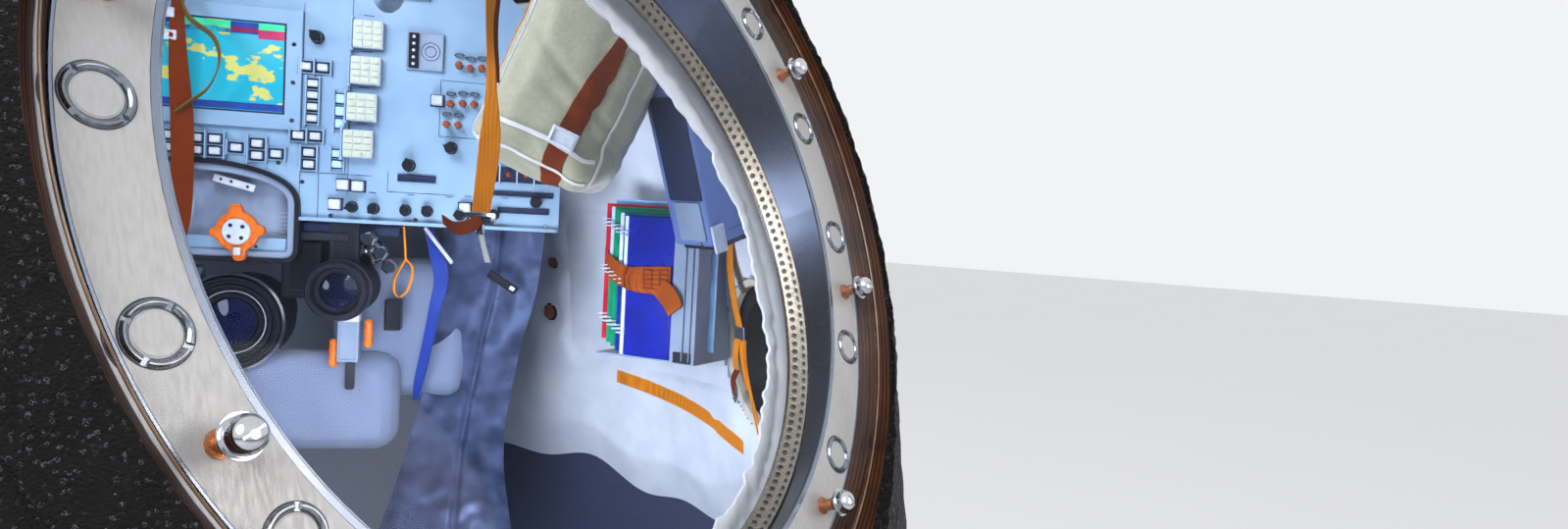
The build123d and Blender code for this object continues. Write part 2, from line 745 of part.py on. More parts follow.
# Hinge lugs below the frame, and their pin
with BuildPart() as hinge_lugs:
    for side in (-1, 0, 1):
        with BuildSketch(hinge.offset(side * HINGE_LUG_Y - HINGE_LUG_W / 2)):
            Circle(HINGE_EYE_R)
            with Locations((0, (HINGE_DROP - FIT) / 2)):
                Rectangle(2 * HINGE_EYE_R, HINGE_DROP - FIT)
            Circle(HINGE_PIN_R + HINGE_RUN, mode=Mode.SUBTRACT)
        extrude(amount=HINGE_LUG_W)
save(hinge_lugs.part, "hinge_lugs")

pin_half = HINGE_LUG_Y + HINGE_LUG_W
with BuildPart() as hinge_pin:
    with BuildSketch(hinge.offset(-pin_half)):
        Circle(HINGE_PIN_R)
    extrude(amount=2 * pin_half)
save(hinge_pin.part, "hinge_pin")

# Lock under the lid: hub, hand wheel and radial bolts
with BuildPart() as hatch_lock:
    with BuildSketch(Plane.XY.offset(lid_low - FIT)):
        Circle(LOCK_HUB_R * 0.6)
    extrude(amount=-LOCK_DROP)
    with BuildSketch(Plane.XY.offset(lid_low - FIT - LOCK_DROP)):
        Circle(LOCK_WHEEL_R)
        Circle(LOCK_WHEEL_R - 2 * LOCK_WHEEL_T, mode=Mode.SUBTRACT)
        with PolarLocations(0, 3):
            with Locations((LOCK_WHEEL_R / 2, 0)):
                Rectangle(LOCK_WHEEL_R - LOCK_WHEEL_T, LOCK_WHEEL_T)
    extrude(amount=LOCK_WHEEL_T)
    for turn in range(LOCK_RODS):
        spoke = radians(360 / LOCK_RODS * turn)
        with BuildSketch(
            Plane(
                origin=(0, 0, lid_low - 2 * LOCK_ROD_R),
                x_dir=(-sin(spoke), cos(spoke), 0),
                z_dir=(cos(spoke), sin(spoke), 0),
            )
        ):
            Circle(LOCK_ROD_R)
        extrude(amount=lid_r - LOCK_ROD_R)
    with BuildSketch(Plane.XY.offset(lid_low - 4 * LOCK_ROD_R)):
        Circle(LOCK_HUB_R * 0.8)
    extrude(amount=3.5 * LOCK_ROD_R)
save(hatch_lock.part, "hatch_lock")

# Portholes: a frame through the wall and a thick pane in it, on both sides
for side, plane in port_planes.items():
    outline = (
        (PORT_CLEAR_R, -WALL - PORT_INNER_T),
        (PORT_FRAME_R, -WALL - PORT_INNER_T),
        (PORT_FRAME_R, PORT_FRAME_PROUD),
        (PORT_CLEAR_R + PORT_INNER_T, PORT_FRAME_PROUD),
        (PORT_CLEAR_R, PORT_FRAME_PROUD - PORT_INNER_T),
    )
    with BuildPart() as port_frame:
        add(turned(section_of(plane), outline))
    save(port_frame.part, f"porthole_frame_{side}")
    with BuildPart() as port_glass:
        with BuildSketch(plane.offset(-WALL / 2)):
            Circle(PORT_CLEAR_R - FIT)
        extrude(amount=PORT_GLASS_T)
    save(port_glass.part, f"porthole_glass_{side}")

# Reserve parachute cover: a slightly domed lid let into the wall
with BuildPart() as reserve_cover:
    with BuildSketch(reserve.offset(-RESERVE_T)):
        Circle(RESERVE_R)
    extrude(amount=RESERVE_T * 2)
    with Locations((0, 0, DOME_Z)):
        Sphere(DOME_R + RESERVE_PROUD, mode=Mode.INTERSECT)
save(reserve_cover.part, "reserve_cover")

# Periscope head on the cone, with its square window
with BuildPart() as periscope_head:
    with BuildSketch(periscope.offset(-WALL)):
        Circle(PERISCOPE_R)
    extrude(amount=WALL + PERISCOPE_PROUD)
    fillet(periscope_head.faces().sort_by(Axis.X)[-1].edges(), 10)
    with BuildSketch(periscope.offset(PERISCOPE_PROUD)):
        Rectangle(PERISCOPE_WINDOW, PERISCOPE_WINDOW)
    extrude(amount=-PORT_GLASS_T, mode=Mode.SUBTRACT)
save(periscope_head.part, "periscope_head")

# Thrusters: flush cups with a bell each
with BuildPart() as thrusters:
    for plane in thruster_planes:
        add(
            turned(
                section_of(plane),
                (
                    (0, -THRUSTER_DEPTH),
                    (THRUSTER_R, -THRUSTER_DEPTH),
                    (THRUSTER_R, 0),
                    (THRUSTER_R * 0.8, 0),
                    (THRUSTER_THROAT, -THRUSTER_DEPTH * 0.75),
                    (0, -THRUSTER_DEPTH * 0.75),
                ),
            )
        )
save(thrusters.part, "thrusters")

# Umbilical plate, seated on the cone
with BuildPart() as umbilical_plate:
    with BuildSketch(umbilical.offset(-UMBILICAL_T)):
        RectangleRounded(UMBILICAL_W, UMBILICAL_H, UMBILICAL_T)
    extrude(amount=2 * UMBILICAL_T)
    with Locations((0, 0, tangent_z / 2)):
        Cone(cone_radius(0, -FIT), cone_radius(tangent_z, -FIT), tangent_z, mode=Mode.SUBTRACT)
    with BuildSketch(umbilical.offset(UMBILICAL_T)):
        with GridLocations(UMBILICAL_W / 2.4, UMBILICAL_H / 3.2, 2, 3):
            Circle(UMBILICAL_T * 1.5)
    extrude(amount=UMBILICAL_T / 2)
save(umbilical_plate.part, "umbilical_plate")

# Cabin floor
floor_r = cone_radius(FLOOR_Z + FLOOR_T, WALL) - FIT
with BuildPart() as cabin_floor:
    with BuildSketch(Plane.XY.offset(FLOOR_Z)):
        Circle(floor_r)
    extrude(amount=FLOOR_T)
save(cabin_floor.part, "cabin_floor")


def wedge(start, end, reach):
    """Tall pie-shaped solid about the Z axis between two azimuths less than a half turn apart."""
    spread = [radians(start + (end - start) * part / 3) for part in range(4)]
    with BuildPart() as pie:
        with BuildSketch(Plane.XY.offset(LINING_LOW)):
            with BuildLine():
                Polyline((0, 0), *[(reach * cos(turn), reach * sin(turn)) for turn in spread], close=True)
            make_face()
        extrude(amount=LINING_HIGH - LINING_LOW)
    return pie.part


# Wall linings: white padding from the mouth past the books, and the grey rest
console_turn = radians(CONSOLE_AZ)
console = Plane(
    origin=(
        CONSOLE_OUT * cos(console_turn) + CONSOLE_SIDE * sin(console_turn),
        CONSOLE_OUT * sin(console_turn) - CONSOLE_SIDE * cos(console_turn),
        CONSOLE_Z,
    ),
    x_dir=(sin(console_turn), -cos(console_turn), 0),
    z_dir=(-cos(console_turn), -sin(console_turn), 0),
)


def arm_bars(grow):
    """Square bars from the console's rim out past the wall, grown by an amount all round."""
    with BuildPart() as bars:
        with BuildSketch(console.offset(-CONSOLE_RIM - FIT)):
            for x in CONSOLE_ARM_X:
                for y in CONSOLE_ARM_Y:
                    with Locations((x, y)):
                        Rectangle(CONSOLE_ARM_W + 2 * grow, CONSOLE_ARM_H + 2 * grow)
        extrude(amount=-DOME_R)
    return bars.part


sight_hole = round_hole(console.offset(-DOME_R * 0.6), SIGHT_NECK_R + FIT, DOME_R * 0.4)
sight_hole = sight_hole.moved(Location(console.x_dir * SIGHT_X + Vector(0, 0, SIGHT_Y)))
white_wedge = wedge(WHITE_FROM, WHITE_TO, 2 * DOME_R)
with BuildPart() as white_lining:
    add(lining_form)
    add(cabin_form, mode=Mode.SUBTRACT)
    add(white_wedge, mode=Mode.INTERSECT)
    add(mouth_hole, mode=Mode.SUBTRACT)
    add(arm_bars(FIT), mode=Mode.SUBTRACT)
    add(round_hole(port_planes["right"], PORT_FRAME_R + FIT, WALL * 2), mode=Mode.SUBTRACT)
    for azimuth, height, radius in LINING_HOLES:
        add(round_hole(wall_plane(azimuth, height, WALL), radius, LINING * 2), mode=Mode.SUBTRACT)
save(white_lining.part, "white_lining")

with BuildPart() as grey_lining:
    add(lining_form)
    add(cabin_form, mode=Mode.SUBTRACT)
    split(bisect_by=Plane.XY.offset(LINING_HIGH), keep=Keep.BOTTOM)
    add(white_wedge, mode=Mode.SUBTRACT)
    add(mouth_hole, mode=Mode.SUBTRACT)
    add(arm_bars(FIT), mode=Mode.SUBTRACT)
    add(sight_hole, mode=Mode.SUBTRACT)
    add(round_hole(port_planes["left"], PORT_FRAME_R + FIT, WALL * 2), mode=Mode.SUBTRACT)
save(grey_lining.part, "grey_lining")

# Soft sleeve that closes the gap between the mouth's tube and the linings
with BuildPart() as mouth_sleeve:
    add(
        turned(
            mouth_section,
            (
                (tube_r + FIT, -FLANGE_T - SEAT_T - FIT),
                (COLLAR_R, -FLANGE_T - SEAT_T - FIT),
                (COLLAR_R, -SLEEVE_REACH / 2),
                (tube_r + SLEEVE_T, -SLEEVE_REACH * 0.7),
                (tube_r + SLEEVE_T, -SLEEVE_REACH),
                (tube_r + FIT, -SLEEVE_REACH),
            ),
        )
    )
save(mouth_sleeve.part, "mouth_sleeve")

# Console: sheet panel with a rim behind it, cut for the display and the arched screen
console_outline = (
    (-CONSOLE_SIDE - CONSOLE_HALF, CONSOLE_LOW),
    (-CONSOLE_SIDE + CONSOLE_HALF, CONSOLE_LOW),
    (-CONSOLE_SIDE + CONSOLE_HALF, CONSOLE_HIGH - CONSOLE_CUT),
    (-CONSOLE_SIDE + CONSOLE_HALF - CONSOLE_CUT, CONSOLE_HIGH),
    (-CONSOLE_SIDE - CONSOLE_HALF + CONSOLE_CUT, CONSOLE_HIGH),
    (-CONSOLE_SIDE - CONSOLE_HALF, CONSOLE_HIGH - CONSOLE_CUT),
)


def arch_face(grow, depth=0.0):
    """Arched outline on the console's plane, grown by an amount."""
    half = ARCH_W / 2 + grow
    with BuildSketch(console.offset(depth)) as face:
        with BuildLine():
            Polyline(
                (ARCH_X - half, ARCH_SHOULDER),
                (ARCH_X - half, ARCH_LOW - grow),
                (ARCH_X + half, ARCH_LOW - grow),
                (ARCH_X + half, ARCH_SHOULDER),
            )
            crown = (ARCH_X, ARCH_TOP + grow)
            ThreePointArc((ARCH_X + half, ARCH_SHOULDER), crown, (ARCH_X - half, ARCH_SHOULDER))
        make_face()
    return face.sketch


with BuildPart() as console_panel:
    with BuildSketch(console):
        with BuildLine():
            Polyline(*console_outline, close=True)
        make_face()
    extrude(amount=-CONSOLE_RIM)
    with BuildSketch(console.offset(-CONSOLE_T)):
        with BuildLine():
            Polyline(*console_outline, close=True)
        make_face()
        offset(amount=-CONSOLE_T, mode=Mode.REPLACE)
    extrude(amount=-CONSOLE_RIM, mode=Mode.SUBTRACT)
    with BuildSketch(console):
        with Locations((DISPLAY_X, DISPLAY_Y)):
            Rectangle(DISPLAY_W, DISPLAY_H)
    extrude(amount=-CONSOLE_T, mode=Mode.SUBTRACT)
    extrude(arch_face(ARCH_RIM + FIT), amount=CONSOLE_RIM * 1.5, both=True, mode=Mode.SUBTRACT)
save(console_panel.part, "console_panel")

# Square arms from the console's rim to the pressure hull
with BuildPart() as console_arms:
    add(arm_bars(0))
    add(lining_form, mode=Mode.INTERSECT)
save(console_arms.part, "console_arms")

# Display in its window
with BuildPart() as display:
    with BuildSketch(console.offset(-CONSOLE_RIM + CONSOLE_T)):
        with Locations((DISPLAY_X, DISPLAY_Y)):
            Rectangle(DISPLAY_W - 2 * FIT, DISPLAY_H - 2 * FIT)
    extrude(amount=CONSOLE_RIM - CONSOLE_T)
    with BuildSketch(console):
        with Locations((DISPLAY_X, DISPLAY_Y)):
            Rectangle(DISPLAY_W + 2 * DISPLAY_BEZEL, DISPLAY_H + 2 * DISPLAY_BEZEL)
            Rectangle(DISPLAY_W - 2 * DISPLAY_BEZEL, DISPLAY_H - 2 * DISPLAY_BEZEL, mode=Mode.SUBTRACT)
    extrude(amount=DISPLAY_T / 4)
save(display.part, "display")

# Key blocks, indicators, knobs and switches on the panel's face, each from its table
with BuildPart() as key_blocks:
    for x, y, columns, rows, pitch_x, pitch_y, width, height, proud in KEY_BLOCKS:
        with BuildSketch(console):
            with Locations((x, y)):
                with GridLocations(pitch_x, pitch_y, columns, rows):
                    Rectangle(width, height)
        extrude(amount=proud)
save(key_blocks.part, "key_blocks")

with BuildPart() as indicators:
    with BuildSketch(console):
        with Locations(*INDICATORS):
            Rectangle(INDICATOR_W, INDICATOR_H)
    extrude(amount=INDICATOR_PROUD)
save(indicators.part, "indicators")

with BuildPart() as console_knobs:
    for x, y, radius, length in KNOBS:
        with BuildSketch(console):
            with Locations((x, y)):
                Circle(radius)
        extrude(amount=length)
save(console_knobs.part, "console_knobs")

with BuildPart() as console_switches:
    with BuildSketch(console):
        with Locations(*SWITCHES):
            Circle(SWITCH_R)
    extrude(amount=SWITCH_L)
save(console_switches.part, "console_switches")

# Gauge under its rounded cover
with BuildPart() as gauge:
    with BuildSketch(console):
        with Locations((GAUGE_X, GAUGE_Y)):
            RectangleRounded(GAUGE_W, GAUGE_H, GAUGE_PROUD / 2)
    extrude(amount=GAUGE_PROUD)
    fillet(gauge.faces().sort_by(Axis(console.origin, console.z_dir))[-1].edges(), GAUGE_PROUD / 3)
save(gauge.part, "gauge")

# Arched screen housing set through the panel, with a plate across its back
with BuildPart() as screen_housing:
    extrude(arch_face(ARCH_RIM, ARCH_PROUD), amount=-ARCH_DEPTH - ARCH_PROUD)
    extrude(arch_face(0, ARCH_PROUD), amount=-ARCH_DEPTH - ARCH_PROUD + ARCH_RIM, mode=Mode.SUBTRACT)
save(screen_housing.part, "screen_housing")

# Four-lobed valve knob on a post in front of the screen
with BuildPart() as valve_knob:
    with BuildSketch(console.offset(-ARCH_DEPTH + ARCH_RIM)):
        with Locations((VALVE_X, VALVE_Y)):
            Circle(VALVE_LOBE_R)
    extrude(amount=ARCH_DEPTH)
    with BuildSketch(console):
        with Locations((VALVE_X, VALVE_Y)):
            Circle(VALVE_R)
            with PolarLocations(VALVE_R, 4, start_angle=45):
                Circle(VALVE_LOBE_R)
    extrude(amount=VALVE_T)
save(valve_knob.part, "valve_knob")

# Optical sight: stepped barrel through the lining to the periscope's head
sight_axis = Axis((console.offset(SIGHT_FACE)).from_local_coords((SIGHT_X, SIGHT_Y)), console.z_dir)
sight_spot = Plane(
    origin=sight_axis.position, x_dir=console.x_dir, z_dir=-console.z_dir
)
with BuildPart() as optical_sight:
    with BuildSketch(sight_spot):
        Circle(SIGHT_R)
        Circle(SIGHT_R - SIGHT_RIM, mode=Mode.SUBTRACT)
    extrude(amount=SIGHT_STEP)
    with BuildSketch(sight_spot.offset(SIGHT_STEP / 4)):
        Circle(SIGHT_R)
    extrude(amount=SIGHT_STEP * 0.75)
    with BuildSketch(sight_spot.offset(SIGHT_STEP)):
        Circle(SIGHT_NECK_R)
    sight_wall = cone_radius(CONSOLE_Z + SIGHT_Y, WALL)
    extrude(amount=sight_wall - CONSOLE_OUT + SIGHT_FACE - SIGHT_STEP - SIGHT_GAP)
save(optical_sight.part, "optical_sight")

# Lens unit hung from the console's rim, with its bracket and grips
with BuildPart() as lens_unit:
    with BuildSketch(console.offset(-CONSOLE_RIM / 4)):
        with Locations((LENS_X, LENS_Y)):
            Circle(LENS_R)
        with Locations((LENS_X, LENS_Y)):
            Rectangle(LENS_R, CONSOLE_LOW - FIT - LENS_Y, align=(Align.CENTER, Align.MIN))
    extrude(amount=-CONSOLE_RIM / 2)
    with BuildSketch(console.offset(LENS_L / 3)):
        with Locations((LENS_X, LENS_Y)):
            Circle(LENS_R)
            Circle(LENS_R * 0.75, mode=Mode.SUBTRACT)
    extrude(amount=-LENS_L)
    with BuildSketch(console):
        with Locations((LENS_X, LENS_Y)):
            Circle(LENS_R * 0.9)
    extrude(amount=-LENS_L * 0.6)
save(lens_unit.part, "lens_unit")

with BuildPart() as grip_bracket:
    with BuildSketch(console.offset(-CONSOLE_RIM)):
        with Locations((LENS_X + GRIP_SHIFT, LENS_Y - LENS_R - GRIP_H / 2 - FIT)):
            Rectangle(GRIP_W, GRIP_H)
    extrude(amount=GRIP_W)
    for side in (-1, 1):
        with BuildSketch(console.offset(-CONSOLE_RIM + GRIP_W / 4)):
            with Locations((LENS_X + GRIP_SHIFT + side * GRIP_W * 0.6, LENS_Y - LENS_R - GRIP_H * 0.6)):
                Rectangle(GRIP_W * 0.4, GRIP_H * 0.5)
        extrude(amount=GRIP_W / 2)
save(grip_bracket.part, "grip_bracket")

# Books in their wall holder, the front one nearest the crew, with the band round them
lining_ball = DOME_R - WALL - LINING - FIT
book_turn = radians(BOOK_AZ)
book_plane = Plane(
    origin=(BOOK_OUT * cos(book_turn), BOOK_OUT * sin(book_turn), BOOK_Z),
    x_dir=(-sin(radians(BOOK_FACE)), cos(radians(BOOK_FACE)), 0),
    z_dir=(cos(radians(BOOK_FACE)), sin(radians(BOOK_FACE)), 0),
)
with BuildPart() as books:
    for step in range(BOOK_COUNT):
        with BuildSketch(book_plane.offset(-step * (BOOK_T + FIT))):
            with Locations((-step * BOOK_STEP, 0)):
                Rectangle(BOOK_W, BOOK_H)
        extrude(amount=-BOOK_T)
save(books.part, "books")

stack = BOOK_COUNT * (BOOK_T + FIT)
shelf = BOOK_COUNT * BOOK_STEP
with BuildPart() as book_holder:
    with BuildSketch(book_plane.offset(CHANNEL_T + FIT)):
        with Locations((BOOK_W / 2 - CHANNEL_W / 2 + CHANNEL_T, 0)):
            Rectangle(CHANNEL_W, BOOK_H + 2 * CHANNEL_T)
    extrude(amount=-CHANNEL_T)
    with BuildSketch(book_plane.offset(FIT)):
        with Locations((BOOK_W / 2 + FIT + CHANNEL_T / 2, 0)):
            Rectangle(CHANNEL_T, BOOK_H + 2 * CHANNEL_T)
        with Locations((-shelf / 2 + CHANNEL_T, -BOOK_H / 2 - FIT - CHANNEL_T / 2)):
            Rectangle(BOOK_W + shelf, CHANNEL_T)
    extrude(amount=-stack - BOOK_D)
    with Locations((0, 0, DOME_Z)):
        Sphere(lining_ball, mode=Mode.INTERSECT)
save(book_holder.part, "book_holder")

band_left = -BOOK_W / 2 - FIT
band_back = (1 - BOOK_COUNT) * (BOOK_T + FIT)
band_line = (
    (BOOK_W / 2 - CHANNEL_W - FIT, FIT),
    (band_left, FIT),
    (band_left - (BOOK_COUNT - 1) * BOOK_STEP - FIT, band_back + FIT),
    (band_left - (BOOK_COUNT - 1) * BOOK_STEP - FIT, band_back - BOOK_D),
)
book_top = Plane(origin=book_plane.origin, x_dir=book_plane.x_dir, z_dir=-book_plane.y_dir)
with BuildPart() as book_band:
    with BuildSketch(book_top):
        with BuildLine():
            Polyline(
                *band_line,
                (band_line[3][0] - BAND_THICK, band_line[3][1]),
                (band_line[2][0] - BAND_THICK, band_line[2][1] + BAND_THICK / 2),
                (band_line[1][0] - BAND_THICK / 2, band_line[1][1] + BAND_THICK),
                (band_line[0][0], band_line[0][1] + BAND_THICK),
                close=True,
            )
        make_face()
    extrude(amount=BAND_H / 2, both=True)
    with Locations((0, 0, DOME_Z)):
        Sphere(lining_ball, mode=Mode.INTERSECT)
save(book_band.part, "book_band")


def turned_plane(place, face, roll):
    """Upright plane at a place, its normal at an azimuth, rolled clockwise as its viewer sees it."""
    turn = radians(face)
    lean_angle = radians(roll)
    return Plane(
        origin=place,
        x_dir=(-sin(turn) * cos(lean_angle), cos(turn) * cos(lean_angle), -sin(lean_angle)),
        z_dir=(cos(turn), sin(turn), 0),
    )


# Equipment box on the wall between the bag and the porthole
box_plane = turned_plane(BOX_AT, BOX_FACE, BOX_ROLL)
with BuildPart() as equipment_box:
    with BuildSketch(box_plane.offset(-BOX_D / 2)):
        Rectangle(BOX_W, BOX_H)
    extrude(amount=BOX_D)
    fillet(equipment_box.edges(), BOX_EDGE)
    with Locations((0, 0, DOME_Z)):
        Sphere(lining_ball, mode=Mode.INTERSECT)
save(equipment_box.part, "equipment_box")

with BuildPart() as box_room:
    with BuildSketch(box_plane.offset(-BOX_D / 2 - FIT)):
        Rectangle(BOX_W + 2 * FIT, BOX_H + 2 * FIT)
    extrude(amount=BOX_D + 2 * FIT)

# Cargo bag pressed between the lining and the box, with a band round it
bag_plane = turned_plane(BAG_AT, BAG_FACE, BAG_ROLL)
with BuildPart() as cargo_bag:
    with BuildSketch(bag_plane.offset(-BAG_D / 2)):
        Rectangle(BAG_W, BAG_H)
    extrude(amount=BAG_D)
    fillet(cargo_bag.edges(), BAG_EDGE)
    add(box_room.part, mode=Mode.SUBTRACT)
    with Locations((0, 0, DOME_Z)):
        Sphere(lining_ball, mode=Mode.INTERSECT)
save(cargo_bag.part, "cargo_bag")

bag_side = Plane(origin=bag_plane.origin, x_dir=bag_plane.y_dir, z_dir=bag_plane.x_dir)
with BuildPart() as bag_band:
    with BuildSketch(bag_side.offset(BAG_BAND_X)):
        RectangleRounded(BAG_H + 2 * STRAP_T, BAG_D + 2 * STRAP_T, BAG_EDGE + STRAP_T)
        RectangleRounded(BAG_H + 2 * FIT, BAG_D + 2 * FIT, BAG_EDGE, mode=Mode.SUBTRACT)
    extrude(amount=STRAP_W, both=True)
    with Locations((0, 0, DOME_Z)):
        Sphere(lining_ball, mode=Mode.INTERSECT)
    add(box_room.part, mode=Mode.SUBTRACT)
save(bag_band.part, "bag_band")

# Hanging strap with its buckle, and the side strap over the console
strap_plane = turned_plane(STRAP_AT, BAG_FACE, 0)
with BuildPart() as hanging_strap:
    with BuildSketch(strap_plane):
        Rectangle(STRAP_W, STRAP_L, align=(Align.CENTER, Align.MAX))
    extrude(amount=STRAP_T)
    with Locations((0, 0, DOME_Z)):
        Sphere(DOME_R - WALL - FIT, mode=Mode.INTERSECT)
save(hanging_strap.part, "hanging_strap")

with BuildPart() as strap_buckle:
    with BuildSketch(strap_plane.offset(-STRAP_T)):
        with Locations((0, -STRAP_L - FIT)):
            Rectangle(STRAP_W * 1.4, STRAP_W * 0.8, align=(Align.CENTER, Align.MAX))
            Rectangle(STRAP_W, STRAP_W * 0.4, align=(Align.CENTER, Align.MAX), mode=Mode.SUBTRACT)
    extrude(amount=3 * STRAP_T)
save(strap_buckle.part, "strap_buckle")

with BuildPart() as side_strap:
    with BuildSketch(console.offset(DISPLAY_T * 1.5)):
        with Locations((SIDE_STRAP_X, CONSOLE_HIGH)):
            Rectangle(STRAP_W, SIDE_STRAP_L, align=(Align.CENTER, Align.MAX))
    extrude(amount=STRAP_T)
    with BuildSketch(console):
        with Locations((SIDE_STRAP_X, CONSOLE_HIGH)):
            Rectangle(STRAP_W, STRAP_W / 2, align=(Align.CENTER, Align.MAX))
    extrude(amount=DISPLAY_T * 1.5)
save(side_strap.part, "side_strap")

with BuildPart() as pull_loop:
    with BuildSketch(console.offset(-CONSOLE_T)):
        with Locations((PULL_X, CONSOLE_LOW - PULL_L / 2)):
            Ellipse(PULL_W / 2, PULL_L / 2)
            Ellipse(PULL_W / 2 - 2 * STRAP_T, PULL_L / 2 - 2 * STRAP_T, mode=Mode.SUBTRACT)
    extrude(amount=-2 * STRAP_T)
save(pull_loop.part, "pull_loop")

# Seats: three shells in a fan on struts, heads away from the console, each with its liner
def seat_part(turn, rise, thick):
    """Bent plate of one seat: its side profile, raised, thickened and kept to its own sector."""
    face = radians(turn)
    side = Plane(origin=(0, 0, 0), x_dir=(cos(face), sin(face), 0), z_dir=(sin(face), -cos(face), 0))
    with BuildPart() as plate:
        with BuildSketch(side):
            with BuildLine():
                Polyline(
                    *[(reach, height + rise) for reach, height in SEAT_LINE],
                    *[(reach, height + rise + thick) for reach, height in reversed(SEAT_LINE)],
                    close=True,
                )
            make_face()
        extrude(amount=SEAT_W / 2, both=True)
        add(wedge(turn - SEAT_SECTOR, turn + SEAT_SECTOR, DOME_R), mode=Mode.INTERSECT)
    return plate.part


with BuildPart() as seat_shells:
    for turn in SEAT_AZS:
        add(seat_part(turn, 0, SEAT_T))
        face = radians(turn)
        for reach, height in SEAT_STRUTS:
            with BuildSketch(Plane.XY.offset(FLOOR_Z + FLOOR_T)):
                with Locations((reach * cos(face), reach * sin(face))):
                    Circle(SEAT_STRUT_R)
            extrude(amount=height - FLOOR_Z - FLOOR_T)
save(seat_shells.part, "seat_shells")

with BuildPart() as seat_liners:
    for turn in SEAT_AZS:
        add(seat_part(turn, SEAT_T + FIT, SEAT_PAD))
save(seat_liners.part, "seat_liners")
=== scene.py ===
"""Studio scene of a crew descent capsule, seen close up at its round side mouth.

Every piece is in metres, in the capsule's own frame: origin at the centre of the base, +Z up, the mouth
towards -Y. Sizes in the tables are millimetres unless a comment says otherwise.
"""

import json
import logging
import math
from collections.abc import Callable, Iterable, Iterator
from contextlib import contextmanager
from dataclasses import dataclass
from enum import Enum

import bmesh
import bpy
from mathutils import Matrix, Vector, noise

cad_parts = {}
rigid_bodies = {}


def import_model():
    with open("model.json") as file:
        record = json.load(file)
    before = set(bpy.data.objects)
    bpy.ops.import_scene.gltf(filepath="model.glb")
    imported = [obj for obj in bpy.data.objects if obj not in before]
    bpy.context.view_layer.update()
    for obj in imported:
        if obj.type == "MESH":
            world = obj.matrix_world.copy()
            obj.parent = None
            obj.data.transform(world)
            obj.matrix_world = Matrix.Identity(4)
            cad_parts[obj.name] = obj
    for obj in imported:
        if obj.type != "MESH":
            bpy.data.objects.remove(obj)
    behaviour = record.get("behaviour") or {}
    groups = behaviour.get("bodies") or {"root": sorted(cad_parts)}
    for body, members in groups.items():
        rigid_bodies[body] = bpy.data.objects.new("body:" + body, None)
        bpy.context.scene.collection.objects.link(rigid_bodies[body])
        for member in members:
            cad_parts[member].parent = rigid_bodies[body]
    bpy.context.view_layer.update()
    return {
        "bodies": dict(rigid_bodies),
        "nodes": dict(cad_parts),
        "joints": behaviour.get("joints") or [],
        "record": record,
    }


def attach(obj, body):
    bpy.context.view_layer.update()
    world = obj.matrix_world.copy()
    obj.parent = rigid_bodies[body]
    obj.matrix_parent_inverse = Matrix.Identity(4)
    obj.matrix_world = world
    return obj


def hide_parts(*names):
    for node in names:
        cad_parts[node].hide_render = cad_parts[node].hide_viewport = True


log = logging.getLogger("capsule")

MM = 0.001
CAPSULE = "capsule"
HATCH = "hatch"

Triple = tuple[float, float, float]
Outline = list[tuple[float, float]]


class Pattern(Enum):
    """How a finish varies: its name, then the size in grains and the octaves of each of its noises."""

    MOTTLED = ("mottled", (1, 5))
    BRUSHED = ("brushed", (1, 2), (30, 3))
    CHARRED = ("charred", (0.45, 6))
    RULED = ("ruled", (14, 5))
    WOVEN = ("woven", (12, 4))
    MAP = ("map", (1, 5))
    CLEAR = ("clear", (1, 5))
    STAGE = ("stage", (1, 5))


# The surface shader's own socket behind each figure of a finish
SOCKETS = {
    "rough": "Roughness",
    "metal": "Metallic",
    "coat": "Coat Weight",
    "sheen": "Sheen Weight",
    "specular": "Specular IOR Level",
    "glow": "Emission Strength",
    "clear": "Transmission Weight",
    "ior": "IOR",
}
# Roughness of a glassy bead in the burnt crust
BEAD_ROUGH = 0.16
# How many times finer than its scale a wave texture's bands are
WAVE_BANDS = 3.2
# Share of its own colour that the studio floor shows to the camera, whatever the light
FLOOR_GLOW = 0.72


def linear(code: str) -> tuple[float, float, float, float]:
    """Turn an sRGB hex code, with or without a hash, into Blender's linear colour with full opacity."""
    code = code.lstrip("#")
    parts = [int(code[i : i + 2], 16) / 255 for i in (0, 2, 4)]
    return (*[p / 12.92 if p <= 0.04045 else ((p + 0.055) / 1.055) ** 2.4 for p in parts], 1.0)


def add_node(
    tree: bpy.types.NodeTree,
    kind: str,
    settings: dict[str, object] | None = None,
    inputs: dict[str | int, object] | tuple[object, ...] = (),
) -> bpy.types.Node:
    """Add a shader node with its settings and its inputs, which are values or sockets to link.

    Args:
        tree: Node tree of the material or the world.
        kind: Blender's name of the node type, after the word ShaderNode.
        settings: Attributes of the node.
        inputs: Values or feeding sockets, by socket name or number, or as a tuple in socket order.

    Returns:
        The new node.
    """
    node = tree.nodes.new(f"ShaderNode{kind}")
    for key, value in (settings or {}).items():
        setattr(node, key, value)
    for key, value in inputs.items() if isinstance(inputs, dict) else enumerate(inputs):
        if isinstance(value, bpy.types.NodeSocket):
            tree.links.new(value, node.inputs[key])
        else:
            node.inputs[key].default_value = value
    return node


